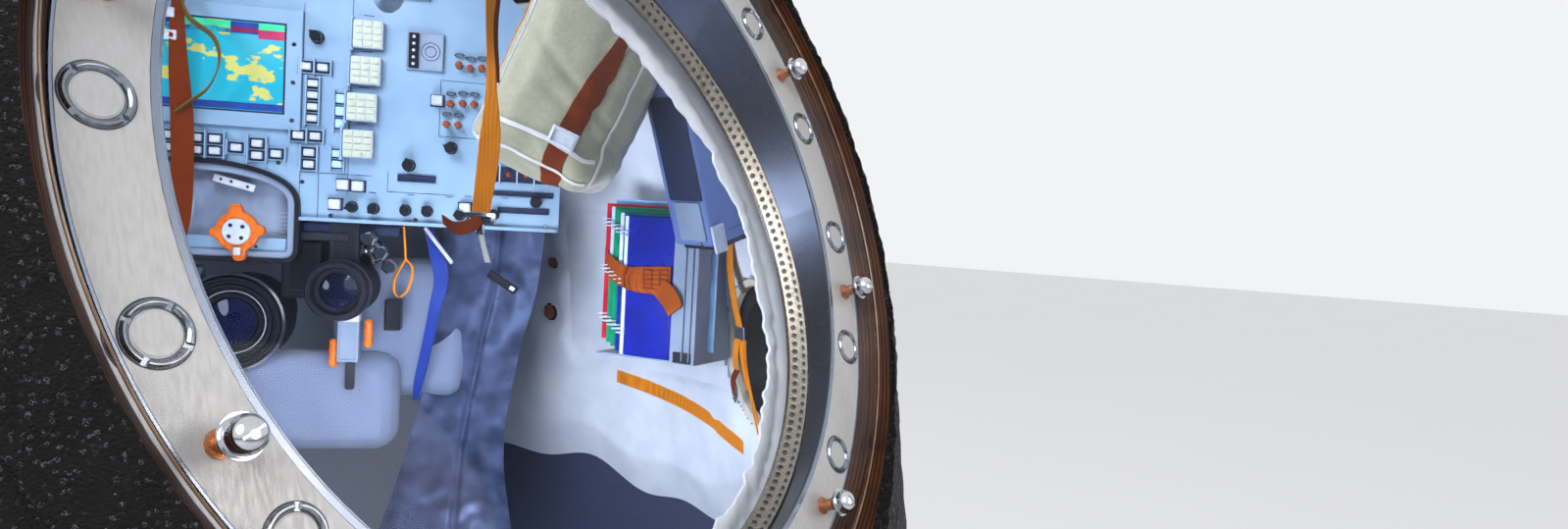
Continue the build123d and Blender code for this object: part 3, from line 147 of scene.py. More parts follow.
@dataclass(frozen=True)
class Finish:
    """One material: what it is made of, how it was worked, and how it varies.

    Attributes:
        name: Name of the material.
        colour: Main colour, sRGB hex.
        shade: Second colour of its pattern, sRGB hex.
        rough: Roughness.
        grain: Size of the pattern in millimetres.
        relief: Height of the bump in millimetres.
        pattern: How the two colours and the relief are laid out.
        stretch: How much longer the pattern runs along each axis.
        frame: Place and turn of the pattern, or none for the capsule's own axes.
        metal: Metallic share.
        coat: Clear coat's weight.
        sheen: Weight of the sheen of cloth.
        specular: Level of the mirror reflection.
        glow: Strength of its own light.
        clear: Share of light that goes through.
        ior: Index of refraction.
    """

    name: str
    colour: str
    shade: str
    rough: float
    grain: float
    relief: float
    pattern: Pattern = Pattern.MOTTLED
    stretch: Triple = (1.0, 1.0, 1.0)
    frame: Matrix | None = None
    metal: float | None = None
    coat: float | None = None
    sheen: float | None = None
    specular: float | None = None
    glow: float | None = None
    clear: float | None = None
    ior: float | None = None

    def build(self) -> bpy.types.Material:
        """Make the material with its nodes.

        Returns:
            The finished material.
        """
        material = bpy.data.materials.new(self.name)
        material.use_nodes = True
        tree = material.node_tree
        tree.nodes.clear()
        place = self.frame or Matrix.Identity(4)
        spot = {"Location": place.to_translation(), "Rotation": place.to_euler(), "Scale": self.stretch}
        spot["Vector"] = add_node(tree, "TexCoord").outputs["Object"]
        mapping = add_node(tree, "Mapping", {"vector_type": "TEXTURE"}, spot)
        figures = {socket: getattr(self, field) for field, socket in SOCKETS.items()}
        figures = {socket: value for socket, value in figures.items() if value is not None}
        surface = add_node(tree, "BsdfPrincipled", None, figures)
        factor, height = self.layout(tree, mapping.outputs["Vector"], surface.inputs["Roughness"])
        colours = {0: factor, 6: linear(self.colour), 7: linear(self.shade)}
        mix = add_node(tree, "Mix", {"data_type": "RGBA"}, colours)
        tree.links.new(mix.outputs[2], surface.inputs["Base Color"])
        if self.glow:
            tree.links.new(mix.outputs[2], surface.inputs["Emission Color"])
        if self.relief:
            bump = add_node(
                tree, "Bump", None, {"Height": height, "Distance": self.relief * MM, "Strength": 1.0}
            )
            tree.links.new(bump.outputs["Normal"], surface.inputs["Normal"])
        output = add_node(
            tree, "OutputMaterial", None, {"Surface": self.shown(tree, surface.outputs["BSDF"])}
        )
        output.is_active_output = True
        return material

    def shown(self, tree: bpy.types.NodeTree, surface: bpy.types.NodeSocket) -> bpy.types.NodeSocket:
        """Mix the surface with another shader for some kinds of ray, where the pattern asks for it.

        Args:
            tree: Node tree of the material.
            surface: The surface shader's socket.

        Returns:
            Socket of the shader that is shown.
        """
        if self.pattern not in (Pattern.STAGE, Pattern.CLEAR):
            return surface
        rays = add_node(tree, "LightPath").outputs
        if self.pattern is Pattern.STAGE:
            other = add_node(tree, "Emission", None, {"Color": linear(self.colour), "Strength": 1.0})
            share = add_node(tree, "Math", {"operation": "MULTIPLY"}, (rays["Is Camera Ray"], FLOOR_GLOW))
        else:
            other = add_node(tree, "BsdfTransparent")
            share = add_node(
                tree, "Math", {"operation": "MAXIMUM"}, (rays["Is Shadow Ray"], rays["Is Diffuse Ray"])
            )
        mix = add_node(tree, "MixShader", None, (share.outputs[0], surface, other.outputs[0]))
        return mix.outputs["Shader"]

    def layout(
        self, tree: bpy.types.NodeTree, vector: bpy.types.NodeSocket, gloss: bpy.types.NodeSocket
    ) -> tuple[bpy.types.NodeSocket, bpy.types.NodeSocket]:
        """Lay out the pattern.

        Args:
            tree: Node tree of the material.
            vector: Coordinates in metres, in the pattern's own frame.
            gloss: The surface shader's roughness, for patterns that change it.

        Returns:
            Sockets of the colour factor and of the relief's height.
        """
        kind, scale = self.pattern, 1 / (self.grain * MM)
        noises = [
            add_node(
                tree, "TexNoise", None, {
                    "Vector": vector, "Scale": 1 / (self.grain * size * MM), "Detail": octaves
                }
            ).outputs["Fac"]
            for size, octaves in kind.value[1:]
        ]
        mottle = noises[0]
        if kind is Pattern.CHARRED:
            grains = {"Vector": vector, "Scale": scale, "Randomness": 1.0}
            cells = add_node(tree, "TexVoronoi", {"feature": "F1"}, grains)
            glint = add_node(tree, "SeparateColor", None, {"Color": cells.outputs["Color"]})
            spark = add_node(tree, "MapRange", None, (glint.outputs[0], 0.86, 0.97, 0.0, 1.0)).outputs[0]
            beads = add_node(tree, "MapRange", None, (spark, 0.0, 1.0, self.rough, BEAD_ROUGH))
            tree.links.new(beads.outputs["Result"], gloss)
            speck = add_node(tree, "MapRange", None, (mottle, 0.42, 0.62, 0.0, 1.0)).outputs[0]
            lump = add_node(tree, "Math", {"operation": "SUBTRACT"}, (mottle, cells.outputs["Distance"]))
            # The colour factor paints the beads in the lighter shade: painted glints on the dark crust
            both = add_node(tree, "Math", {"operation": "MULTIPLY"}, (spark, speck))
            return both.outputs[0], lump.outputs[0]
        if kind in (Pattern.RULED, Pattern.WOVEN):
            axes, bend, octaves, worn = "Z", 0.6, 2.0, (0.35, 0.7, 0.15, 1.0)
            if kind is Pattern.WOVEN:
                axes, bend, octaves, worn = "XZ", 0.4, 1.0, (0.3, 0.7, 0.3, 1.0)
            bands = {"Vector": vector, "Scale": scale / WAVE_BANDS, "Distortion": bend, "Detail": octaves}
            threads = [
                add_node(tree, "TexWave", {"wave_type": "BANDS", "bands_direction": axis}, bands).outputs[1]
                for axis in axes
            ]
            height = threads[0]
            if len(threads) > 1:
                height = add_node(tree, "Math", {"operation": "MULTIPLY"}, tuple(threads)).outputs[0]
            wear = add_node(tree, "MapRange", None, (mottle, *worn)).outputs["Result"]
            return add_node(tree, "Math", {"operation": "MULTIPLY"}, (height, wear)).outputs[0], height
        if kind is Pattern.MAP:
            coast = add_node(tree, "MapRange", None, (mottle, 0.565, 0.585, 0.0, 1.0)).outputs["Result"]
            return coast, coast
        shade, spread, ends = mottle, (0.85, 1.15), (0.35, 0.68)
        if kind is Pattern.BRUSHED:
            shade = add_node(tree, "Math", {"operation": "ADD"}, tuple(noises)).outputs[0]
            spread, ends = (0.75, 1.3), (0.75, 1.3)
        rough = [self.rough * share for share in spread]
        polish = add_node(tree, "MapRange", None, (mottle, 0.3, 0.7, *rough))
        tree.links.new(polish.outputs["Result"], gloss)
        return add_node(tree, "MapRange", None, (shade, *ends, 0.0, 1.0)).outputs["Result"], mottle


def frame_at(origin: Iterable[float], x_axis: Iterable[float], z_axis: Iterable[float]) -> Matrix:
    """Place matrix of a local frame.

    Args:
        origin: Its origin in metres.
        x_axis: Its X direction.
        z_axis: Its Z direction, at right angles to X.

    Returns:
        Matrix from the local frame to the capsule's.
    """
    x = Vector(x_axis).normalized()
    z = Vector(z_axis).normalized()
    y = z.cross(x)
    matrix = Matrix((x, y, z)).transposed().to_4x4()
    matrix.translation = Vector(origin)
    return matrix


# The hull's form in metres: a dome over a cone, and the top of the hatch lid
DOME_R, DOME_Z = 0.955, 0.990
CONE_ANGLE = math.radians(7)
LID_CROWN = 1.8285
# The mouth's tilt, its radius at the outer skin, and how deep its flange and its strip lie
TILT = math.radians(20)
SKIN_CUT_R, FLANGE_DEPTH, STRIP_DEPTH = 0.4326, 0.030, 0.046
MOUTH_NORMAL = Vector((0, -math.cos(TILT), math.sin(TILT)))
MOUTH_AT = Vector((0, 0, DOME_Z)) + MOUTH_NORMAL * (math.sqrt(DOME_R**2 - SKIN_CUT_R**2) - FLANGE_DEPTH)
MOUTH = frame_at(MOUTH_AT, (1, 0, 0), MOUTH_NORMAL)
STRIP_TILT = TILT + math.radians(5.2)
STRIP_AXIS = (0, -math.cos(STRIP_TILT), math.sin(STRIP_TILT))
STRIP = frame_at(MOUTH_AT - MOUTH_NORMAL * STRIP_DEPTH, (1, 0, 0), STRIP_AXIS)
# The console's azimuth, and the frames of console, books, bag and box
CONSOLE_AZIMUTH = 46.54
CONSOLE_TURN = math.radians(CONSOLE_AZIMUTH)
CONSOLE_OUT = Vector((math.cos(CONSOLE_TURN), math.sin(CONSOLE_TURN), 0))
CONSOLE_SIDE = Vector((math.sin(CONSOLE_TURN), -math.cos(CONSOLE_TURN), 0))
CONSOLE_AT = CONSOLE_OUT * 0.3325 + CONSOLE_SIDE * 0.1947 + Vector((0, 0, 1.358))
CONSOLE = frame_at(CONSOLE_AT, CONSOLE_SIDE, -CONSOLE_OUT)
SHELF = frame_at((0.6815, -0.2753, 1.128), (0.0993, -0.9951, 0), (-0.9951, -0.0993, 0))
BAG = frame_at((0.476, -0.276, 1.452), (0.4964, -0.7792, -0.3827), (-0.8434, -0.5373, 0))
BOX = frame_at((0.643, -0.406, 1.353), (0.9249, -0.1966, 0.3256), (-0.2079, -0.9781, 0))
# Fittings on the wall, each as azimuth in degrees and height in metres
PORTS = {"right": (-31.0, 1.03), "left": (211.0, 1.03)}
WALL_HOLES = {"upper_hole": (9.2, 1.142, 15.0), "lower_hole": (10.0, 1.039, 21.0)}
THRUSTERS = [(azimuth, 0.42) for azimuth in (75.0, 105.0, 165.0, 195.0, 330.0, 0.0)]
PERISCOPE, UMBILICAL, RESERVE = (CONSOLE_AZIMUTH, 1.038), (130.0, 0.82), (166.0, 1.31)
# Angle in degrees under which neighbouring faces are shaded smooth
SMOOTH = 35.0

# Charred phenolic ablator: burnt crust with glassy beads that are smoother and painted lighter, the lighter
# specks being painted glints
CHAR = Finish("charred_ablator", "#070608", "#77757F", 0.55, 2.1, 4.0, Pattern.CHARRED, specular=0.3)
# Bonded cloth laminate, machined: dark brown with fine ply lines
LAMINATE = Finish(
    "bonded_laminate", "#231008", "#5F3417", 0.42, 3.2, 0.12, Pattern.RULED, frame=MOUTH, specular=0.1
)
# Machined aluminium alloy, worn matt, with fine scratches
ALLOY = Finish(
    "machined_aluminium", "#C2BFBC", "#B6B2AE", 0.5, 2.4, 0.008,
    Pattern.BRUSHED, (1.0, 5.0, 1.0), MOUTH, metal=0.3,
)
# Polished stainless steel tube, with a broad mottle
POLISHED = Finish("polished_steel", "#9EA4B0", "#868D9C", 0.26, 90.0, 0.0, frame=MOUTH, metal=1.0)
# Rolled perforated steel, satin
ROLLED = Finish("rolled_steel", "#AFA291", "#7F7468", 0.3, 2.0, 0.02, Pattern.BRUSHED, metal=0.9)
# Bright chrome plate
CHROME = Finish("chrome_plate", "#D9DBDF", "#C2C5CB", 0.13, 14.0, 0.0, metal=1.0)
# Copper alloy spacer, satin turned
COPPER = Finish("copper_alloy", "#C98658", "#A9673D", 0.32, 1.2, 0.02, Pattern.BRUSHED, metal=0.85)
# Dark anodised steel and alloy fittings
DARK_METAL = Finish("dark_anodised_alloy", "#3C4048", "#545963", 0.42, 2.5, 0.03, Pattern.BRUSHED, metal=0.8)
# Matt sheet aluminium of floor and bulkhead
SHEET = Finish(
    "sheet_aluminium", "#A9AEB6", "#8F949C", 0.5, 2.0, 0.02, Pattern.BRUSHED, (14.0, 1.0, 1.0), metal=0.7
)
# Cast acrylic pane
ACRYLIC = Finish(
    "cast_acrylic", "#F4F8FC", "#EEF4FA", 0.0, 90.0, 0.0, Pattern.CLEAR, clear=1.0, ior=1.12, specular=0.3
)
# Heat-smoked silica glass of the portholes
SMOKED = Finish("smoked_silica", "#2E2924", "#1F1B18", 0.08, 30.0, 0.0, Pattern.CLEAR, clear=0.35, ior=1.46)
# White coated cloth stretched over padding
WHITE_CLOTH = Finish("white_coated_cloth", "#DDE2EC", "#CDD4E2", 0.62, 60.0, 0.9, sheen=0.15)
# Grey quilted padding behind the crew
GREY_CLOTH = Finish("grey_padding", "#8C929E", "#767C89", 0.85, 3.0, 0.3, Pattern.WOVEN, sheen=0.2)
# Cloth with a torn edge round the mouth, painted whiter than the white lining as painted light where it faces
# the mouth
TORN_CLOTH = Finish("torn_white_cloth", "#F2F4F8", "#E4E8F0", 0.85, 25.0, 0.6, sheen=0.1)
# Baked enamel on the console's sheet, pale blue-grey
ENAMEL = Finish("baked_enamel", "#86A2BA", "#7D99B2", 0.42, 60.0, 0.03, coat=0.1)
# Cream moulded keys
CREAM = Finish("moulded_cream", "#C4C8CF", "#B2B7C0", 0.35, 12.0, 0.02)
# Cream windows with a faint glow of their own, which is painted glow
PAINTED_GLOW_CREAM = Finish("cream_painted_glow", "#B8BDA8", "#A9AE9C", 0.45, 6.0, 0.0, glow=0.06)
# Black moulded plastic
BLACK = Finish("black_moulding", "#101218", "#1C1F28", 0.38, 5.0, 0.05)
# Red-brown switch caps
RUSSET = Finish("russet_caps", "#9A4526", "#7F3A20", 0.4, 4.0, 0.05)
# Clear-topped gauge
GAUGE = Finish("gauge_cover", "#8FA3BC", "#6C8099", 0.2, 18.0, 0.0, coat=0.5)
# Orange moulded valve knob
ORANGE = Finish("orange_moulding", "#E8741F", "#C95A12", 0.36, 7.0, 0.05)
# Grey-blue painted equipment housings
HOUSING = Finish("housing_paint", "#8593A8", "#76849B", 0.4, 70.0, 0.03)
# Screen with its map: turquoise sea and sand land
MAP_SCREEN = Finish(
    "map_screen", "#1E93A6", "#B2B05E", 0.25, 24.0, 0.0, Pattern.MAP, (1.5, 1.0, 1.0), CONSOLE, glow=0.28
)
# Orange woven webbing
WEBBING = Finish("orange_webbing", "#DE8419", "#9A4E0C", 0.72, 2.4, 0.3, Pattern.WOVEN, specular=0.3)
# Brown woven webbing
BROWN_WEBBING = Finish("brown_webbing", "#6E2A0A", "#3C1505", 0.7, 2.2, 0.3, Pattern.WOVEN, specular=0.25)
# Cream brushed fleece
FLEECE = Finish("cream_fleece", "#97937C", "#8D8972", 0.95, 5.0, 0.5, sheen=0.5)
# Seat liner cloth
LINER = Finish("liner_cloth", "#C3C7CE", "#AEB3BC", 0.8, 2.4, 0.2, Pattern.WOVEN, sheen=0.2)
# Book covers, laminated card
BLUE_COVER = Finish("blue_cover", "#15259A", "#101C80", 0.3, 30.0, 0.6)
RED_COVER = Finish("red_cover", "#C22338", "#A61B2E", 0.22, 30.0, 0.0)
GREEN_COVER = Finish("green_cover", "#128A63", "#0E7353", 0.22, 30.0, 0.0)
TEAL_COVER = Finish("teal_cover", "#0F5F86", "#0D5072", 0.22, 30.0, 0.0)
SKY_COVER = Finish("sky_cover", "#9CC4EE", "#82B0DF", 0.22, 30.0, 0.0)

# Painted studio floor
PALE_FLOOR = Finish("pale_floor", "#F1F1F3", "#ECECEF", 0.9, 900.0, 0.0, Pattern.STAGE, specular=0.1)
# Sawn edge of the acrylic pane, painted warm beige as the bright line of light along it: painted highlight
PANE_EDGE = Finish("acrylic_edge", "#A08468", "#7E6450", 0.18, 20.0, 0.0, coat=0.5)
# Dark printed lines and slots of the console
NAVY = Finish("navy_ink", "#27304F", "#1E2642", 0.5, 14.0, 0.02)
# Pale blue translucent keys
PALE_KEY = Finish("pale_blue_keys", "#B4D0EA", "#A3C2E0", 0.3, 10.0, 0.02)
# Bars of the screen's picture
GREEN_BAR = Finish("screen_green", "#43C58A", "#37B57C", 0.2, 16.0, 0.0, glow=0.2)
RED_BAR = Finish("screen_red", "#B0355C", "#982A4E", 0.2, 16.0, 0.0, glow=0.2)
SEA_BAR = Finish("screen_indigo", "#27408A", "#20366F", 0.2, 16.0, 0.0, glow=0.2)
SAND_BAR = Finish("screen_teal", "#2E9F9A", "#27408A", 0.2, 5.0, 0.0, glow=0.2)
# Glass of the arched screen, painted grey-blue with large lighter and darker patches as painted reflection
SCREEN_GLASS = Finish(
    "coated_glass", "#9BA8BC", "#64718A", 0.1, 110.0, 0.0, stretch=(1.0, 0.5, 1.0), coat=0.6
)
# Coated optical glass
LENS_GLASS = Finish("optical_glass", "#0A0E1E", "#10173A", 0.04, 90.0, 0.0, coat=1.0)
# Orange-brown gathered webbing of the book band
BAND_WEBBING = Finish("band_webbing", "#A04A17", "#5E2709", 0.8, 3.2, 0.4, Pattern.WOVEN, specular=0.25)
# White cotton tape and piping
PIPING = Finish("cotton_piping", "#C9C7C2", "#B8B4AC", 0.85, 1.4, 0.2, Pattern.WOVEN, sheen=0.2)
# Khaki braided tape
KHAKI = Finish("khaki_tape", "#6E5A30", "#433619", 0.8, 1.6, 0.25, Pattern.WOVEN)
# Blue nylon tape
BLUE_WEBBING = Finish("blue_tape", "#082E86", "#051545", 0.6, 1.8, 0.2, Pattern.WOVEN, sheen=0.2)
# Book paper and white spine strips
PAPER = Finish("book_paper", "#E9E7E0", "#D2CFC6", 0.8, 1.2, 0.1, Pattern.RULED)
SPINE = Finish("white_spine_tape", "#DCE4F4", "#C5D2EC", 0.3, 12.0, 0.0)
# Cream painted ring of the porthole
CREAM_RING = Finish("cream_paint", "#D6D0C2", "#C6BFAF", 0.4, 30.0, 0.05)
# Yellow button
YELLOW = Finish("yellow_moulding", "#C9B92E", "#AD9D20", 0.4, 5.0, 0.0)
# Crinkled metallised film
FOIL = Finish("metallised_film", "#66739A", "#414C6C", 0.32, 45.0, 0.0, metal=0.55)
# Dark blue-grey cloth under the linings
DARK_CLOTH = Finish("dark_lining_cloth", "#323C58", "#28314A", 0.85, 2.4, 0.3, Pattern.WOVEN, sheen=0.15)
# Steel of the ring nuts
NUT_STEEL = Finish("nut_steel", "#A3A5AB", "#86898F", 0.15, 5.0, 0.0, metal=1.0)
# Paint of the box, and a darker copy of it on the plate at the box's left side, which is painted shade
BOX_PAINT = Finish("box_paint", "#6378AC", "#586DA2", 0.45, 70.0, 0.03)
BOX_SIDE_SHADE = Finish("box_side_painted_shade", "#222D48", "#1C2640", 0.5, 60.0, 0.03)
# Grey cloth covers below the console
SOFT_GREY = Finish("grey_cover_cloth", "#75809A", "#646F8A", 0.85, 2.2, 0.25, Pattern.WOVEN, sheen=0.2)

NODE_FINISHES: dict[str, Finish] = {
    node: finish
    for finish, nodes in (
        (SHEET, "base_frame base_bulkhead bulkhead_ribs hatch_frame hatch_lid cabin_floor"),
        (
            DARK_METAL,
            "landing_motors hatch_lock hinge_lugs hinge_pin porthole_frame_right porthole_frame_left "
            "periscope_head thrusters umbilical_plate console_arms seat_shells",
        ),
        (CHAR, "side_shell upper_shell reserve_cover"),
        (LAMINATE, "laminate_band"),
        (POLISHED, "mouth_collar"),
        (ALLOY, "mouth_flange"),
        (CHROME, "insert_nuts standoff_heads strap_buckle"),
        (COPPER, "standoffs"),
        (ACRYLIC, "mouth_pane"),
        (ROLLED, "strip_ring"),
        (WHITE_CLOTH, "mouth_sleeve white_lining"),
        (SMOKED, "porthole_glass_right porthole_glass_left"),
        (GREY_CLOTH, "grey_lining"),
        (ENAMEL, "console_panel display"),
        (CREAM, "key_blocks"),
        (PAINTED_GLOW_CREAM, "indicators"),
        (BLACK, "console_knobs screen_housing optical_sight lens_unit"),
        (RUSSET, "console_switches"),
        (GAUGE, "gauge"),
        (ORANGE, "valve_knob"),
        (HOUSING, "grip_bracket book_holder equipment_box"),
        (BLUE_COVER, "books"),
        (WEBBING, "book_band hanging_strap pull_loop"),
        (FLEECE, "cargo_bag"),
        (BROWN_WEBBING, "bag_band side_strap"),
        (LINER, "seat_liners"),
    )
    for node in nodes.split()
}


class Paintbox:
    """Makes each finish's material once and keeps it."""

    def __init__(self) -> None:
        """Start with no materials made."""
        self.made: dict[str, bpy.types.Material] = {}

    def material(self, finish: Finish) -> bpy.types.Material:
        """Give a finish's material, made on first use.

        Args:
            finish: The finish wanted.

        Returns:
            Its material.
        """
        if finish.name not in self.made:
            self.made[finish.name] = finish.build()
        return self.made[finish.name]

    def dress(self, piece: bpy.types.Object, finish: Finish) -> None:
        """Give a piece its one material."""
        piece.data.materials.clear()
        piece.data.materials.append(self.material(finish))


@dataclass(frozen=True)
class Lamp:
    """One soft round lamp, out of the camera's sight.

    Attributes:
        name: Its name.
        at: Its place in metres.
        toward: The point that it faces.
        size: Its width in metres.
        power: Its power in watts.
        tint: Its colour, sRGB hex.
        mirrored: Whether shiny surfaces mirror it.
        inside: Whether it hangs in the cabin, where it isn't to be seen through the pane.
    """

    name: str
    at: Triple
    toward: Triple
    size: float
    power: float
    tint: str
    mirrored: bool = True
    inside: bool = False

    def hang(self) -> None:
        """Put the lamp in its place."""
        data = bpy.data.lights.new(self.name, "AREA")
        data.shape = "DISK"
        data.size = self.size
        data.energy = self.power
        data.color = linear(self.tint)[:3]
        lamp = bpy.data.objects.new(self.name, data)
        lamp.visible_camera = False
        lamp.visible_glossy = self.mirrored
        lamp.visible_transmission = not self.inside
        way = Vector(self.toward) - Vector(self.at)
        lamp.matrix_world = Matrix.Translation(self.at) @ way.to_track_quat("-Z", "Y").to_matrix().to_4x4()
        bpy.context.collection.objects.link(lamp)


@dataclass
class Stage:
    """Camera, lamps, floor and background."""

    camera_at: Triple = (-0.64284, -1.37090, 1.25710)
    forward: Triple = (0.84243, 0.53638, -0.05101)
    right: Triple = (0.53865, -0.84070, 0.05551)
    lens: float = 23.13
    shift_y: float = 0.00415
    floor_size: float = 60.0
    lamps: tuple[Lamp, ...] = (
        Lamp("key", (-3.2, -3.0, 4.2), (0, 0, 0.9), 3.6, 190, "#FFFFFF"),
        Lamp("fill", (1.7, -4.7, 2.2), (0.2, 0, 1.1), 2.4, 52, "#FFF0E4"),
        Lamp("rear", (0.5, 4.2, 4.0), (0, 0, 0.8), 3.6, 140, "#F7F9FF"),
        Lamp("cabin_left", (-0.42, 0.20, 1.56), (0.42, 0.10, 1.26), 0.16, 2.5, "#EEF3FF", False, True),
        Lamp("cabin_top", (0.02, -0.16, 1.66), (0.70, -0.14, 0.95), 0.34, 4.6, "#EEF3FF", False, True),
        Lamp("cabin_low", (-0.30, -0.30, 0.66), (0.62, 0.00, 0.98), 0.50, 5.2, "#E9F0FF", False, True),
        Lamp("cabin_wall", (0.20, -0.24, 1.00), (0.86, 0.08, 1.00), 0.26, 3.6, "#F0F4FF", False, True),
        Lamp("cabin_side", (-0.60, -0.10, 1.20), (0.35, -0.72, 1.24), 0.30, 0.8, "#DDE6FF", True, True),
    )

    def camera(self) -> None:
        """Set the camera where the photograph was taken from."""
        data = bpy.data.cameras.new("camera")
        data.lens = self.lens
        data.sensor_width = 36.0
        data.shift_y = self.shift_y
        data.clip_start = 0.02
        data.clip_end = 100.0
        camera = bpy.data.objects.new("camera", data)
        camera.matrix_world = frame_at(self.camera_at, self.right, -Vector(self.forward))
        bpy.context.collection.objects.link(camera)
        bpy.context.scene.camera = camera

    def background(self) -> None:
        """Light from all round, with a pale background where the camera and reflections look."""
        world = bpy.data.worlds.new("studio")
        bpy.context.scene.world = world
        world.use_nodes = True
        tree = world.node_tree
        tree.nodes.clear()
        rays = add_node(tree, "LightPath").outputs
        seen = rays["Is Camera Ray"]
        for ray in ("Is Transmission Ray", "Is Glossy Ray"):
            seen = add_node(tree, "Math", {"operation": "MAXIMUM"}, (seen, rays[ray])).outputs[0]
        around = add_node(tree, "Background", None, {"Color": linear("#C9D2E0"), "Strength": 0.42})
        pale = add_node(tree, "Background", None, {"Color": linear("#F2F3F5"), "Strength": 1.0})
        mix = add_node(tree, "MixShader", None, (seen, around.outputs[0], pale.outputs[0]))
        add_node(tree, "OutputWorld", None, {"Surface": mix.outputs["Shader"]})

    def build(self, paint: Paintbox) -> None:
        """Set up camera, background, lamps and floor.

        Args:
            paint: The materials.
        """
        self.camera()
        self.background()
        for lamp in self.lamps:
            lamp.hang()
        bpy.ops.mesh.primitive_plane_add(size=self.floor_size, location=(0, 0, 0))
        floor = bpy.context.active_object
        floor.name = "floor"
        paint.dress(floor, PALE_FLOOR)


def mm(x: float, y: float, z: float) -> Vector:
    """Turn millimetres into a vector in metres."""
    return Vector((x, y, z)) * MM


def deselect() -> None:
    """Deselect every object."""
    bpy.ops.object.select_all(action="DESELECT")


def choose(piece: bpy.types.Object) -> None:
    """Make a piece the only selected and active one."""
    deselect()
    piece.select_set(True)
    bpy.context.view_layer.objects.active = piece


@contextmanager
def edited(piece: bpy.types.Object, whole: bool = False) -> Iterator[None]:
    """Hold a piece in edit mode.

    Args:
        piece: The piece to edit.
        whole: Whether all of it is selected at first, or nothing.

    Yields:
        Nothing; edit mode ends afterwards.
    """
    choose(piece)
    bpy.ops.object.mode_set(mode="EDIT")
    bpy.ops.mesh.select_mode(type="FACE")
    bpy.ops.mesh.select_all(action="SELECT" if whole else "DESELECT")
    yield
    bpy.ops.object.mode_set(mode="OBJECT")


def welded(piece: bpy.types.Object, gap: float) -> bpy.types.Object:
    """Merge a piece's points that lie within a gap in metres of each other."""
    with edited(piece, whole=True):
        bpy.ops.mesh.remove_doubles(threshold=gap)
    return piece


def resized(piece: bpy.types.Object, scale: Triple, centre: Iterable[float] = (0, 0, 0)) -> bpy.types.Object:
    """Stretch a piece along the three axes about a centre in metres."""
    with edited(piece, whole=True):
        bpy.ops.transform.resize(value=scale, center_override=centre)
    return piece


def pick(piece: bpy.types.Object, test: Callable[[Vector, Vector], bool]) -> None:
    """Select the faces of a piece in edit mode that pass a test.

    Args:
        piece: The piece in edit mode.
        test: Says yes or no from a face's middle and normal.
    """
    mesh = bmesh.from_edit_mesh(piece.data)
    for face in mesh.faces:
        if test(face.calc_center_median(), face.normal):
            face.select_set(True)
    bmesh.update_edit_mesh(piece.data)


def worked(piece: bpy.types.Object, kind: str, **settings: object) -> bpy.types.Object:
    """Give a piece a modifier and apply it.

    Args:
        piece: The piece to work.
        kind: Blender's name of the modifier type.
        settings: The modifier's settings.

    Returns:
        The same piece.
    """
    choose(piece)
    modifier = piece.modifiers.new(kind.lower(), kind)
    for key, value in settings.items():
        setattr(modifier, key, value)
    bpy.ops.object.modifier_apply(modifier=modifier.name)
    return piece


def bevelled(piece: bpy.types.Object, edge: float, segments: int = 2) -> bpy.types.Object:
    """Round a piece's sharp edges.

    Args:
        piece: The piece.
        edge: Width of the rounding in millimetres, or 0 for none.
        segments: Steps across it.

    Returns:
        The same piece.
    """
    if edge:
        angle = math.radians(40)
        worked(piece, "BEVEL", width=edge * MM, segments=segments, limit_method="ANGLE", angle_limit=angle)
    return piece


def block(
    at: Triple, size: Triple, edge: float = 0.6, segments: int = 2
) -> bpy.types.Object:
    """Make a box with rounded edges.

    Args:
        at: Its middle.
        size: Its three sizes.
        edge: Width of the rounding.
        segments: Steps across the rounding.

    Returns:
        The box.
    """
    deselect()
    bpy.ops.mesh.primitive_cube_add(size=1.0, location=mm(*at), scale=mm(*size))
    bpy.ops.object.transform_apply(location=True, rotation=True, scale=True)
    return bevelled(bpy.context.active_object, edge, segments)


def dished(piece: bpy.types.Object, inset: float, depth: float, top: float) -> bpy.types.Object:
    """Inset the faces that lie at a height and look up, and push them up or down.

    Args:
        piece: The piece.
        inset: Width of the rim that stays.
        depth: How far the middle moves along Z.
        top: Height of the faces.

    Returns:
        The same piece.
    """
    with edited(piece):
        pick(piece, lambda middle, normal: normal.z > 0.9 and abs(middle.z / MM - top) < 0.4)
        bpy.ops.mesh.inset(thickness=inset * MM)
        bpy.ops.mesh.extrude_region_move(TRANSFORM_OT_translate={"value": (0, 0, depth * MM)})
    return piece


def spun(outline: Outline, steps: int = 48, turn: float = 360.0) -> bpy.types.Object:
    """Spin a closed outline round the Z axis.

    Args:
        outline: Closed outline as radius and height.
        steps: Steps round the axis.
        turn: How far it is spun, in degrees.

    Returns:
        The turned piece.
    """
    deselect()
    bpy.ops.mesh.primitive_circle_add(vertices=len(outline), radius=1.0)
    piece = bpy.context.active_object
    for vertex, (radius, height) in zip(piece.data.vertices, outline):
        vertex.co = mm(radius, 0, height)
    with edited(piece, whole=True):
        bpy.ops.mesh.spin(steps=steps, angle=math.radians(turn), center=(0, 0, 0), axis=(0, 0, 1))
        bpy.ops.mesh.select_all(action="SELECT")
        bpy.ops.mesh.remove_doubles(threshold=0.00001)
        bpy.ops.mesh.normals_make_consistent(inside=False)
    return piece


def slab(outline: Outline, low: float, high: float, edge: float = 0.0) -> bpy.types.Object:
    """Extrude a flat closed outline along Z.

    Args:
        outline: Its points in X and Y.
        low: Height of its underside.
        high: Height of its top.
        edge: Width of the rounding.

    Returns:
        The slab.
    """
    deselect()
    bpy.ops.mesh.primitive_circle_add(vertices=len(outline), radius=1.0, fill_type="NGON")
    piece = bpy.context.active_object
    for vertex, (x, y) in zip(piece.data.vertices, outline):
        vertex.co = mm(x, y, low)
    with edited(piece, whole=True):
        bpy.ops.mesh.extrude_region_move(TRANSFORM_OT_translate={"value": (0, 0, (high - low) * MM)})
        bpy.ops.mesh.select_all(action="SELECT")
        bpy.ops.mesh.normals_make_consistent(inside=False)
    return bevelled(piece, edge)


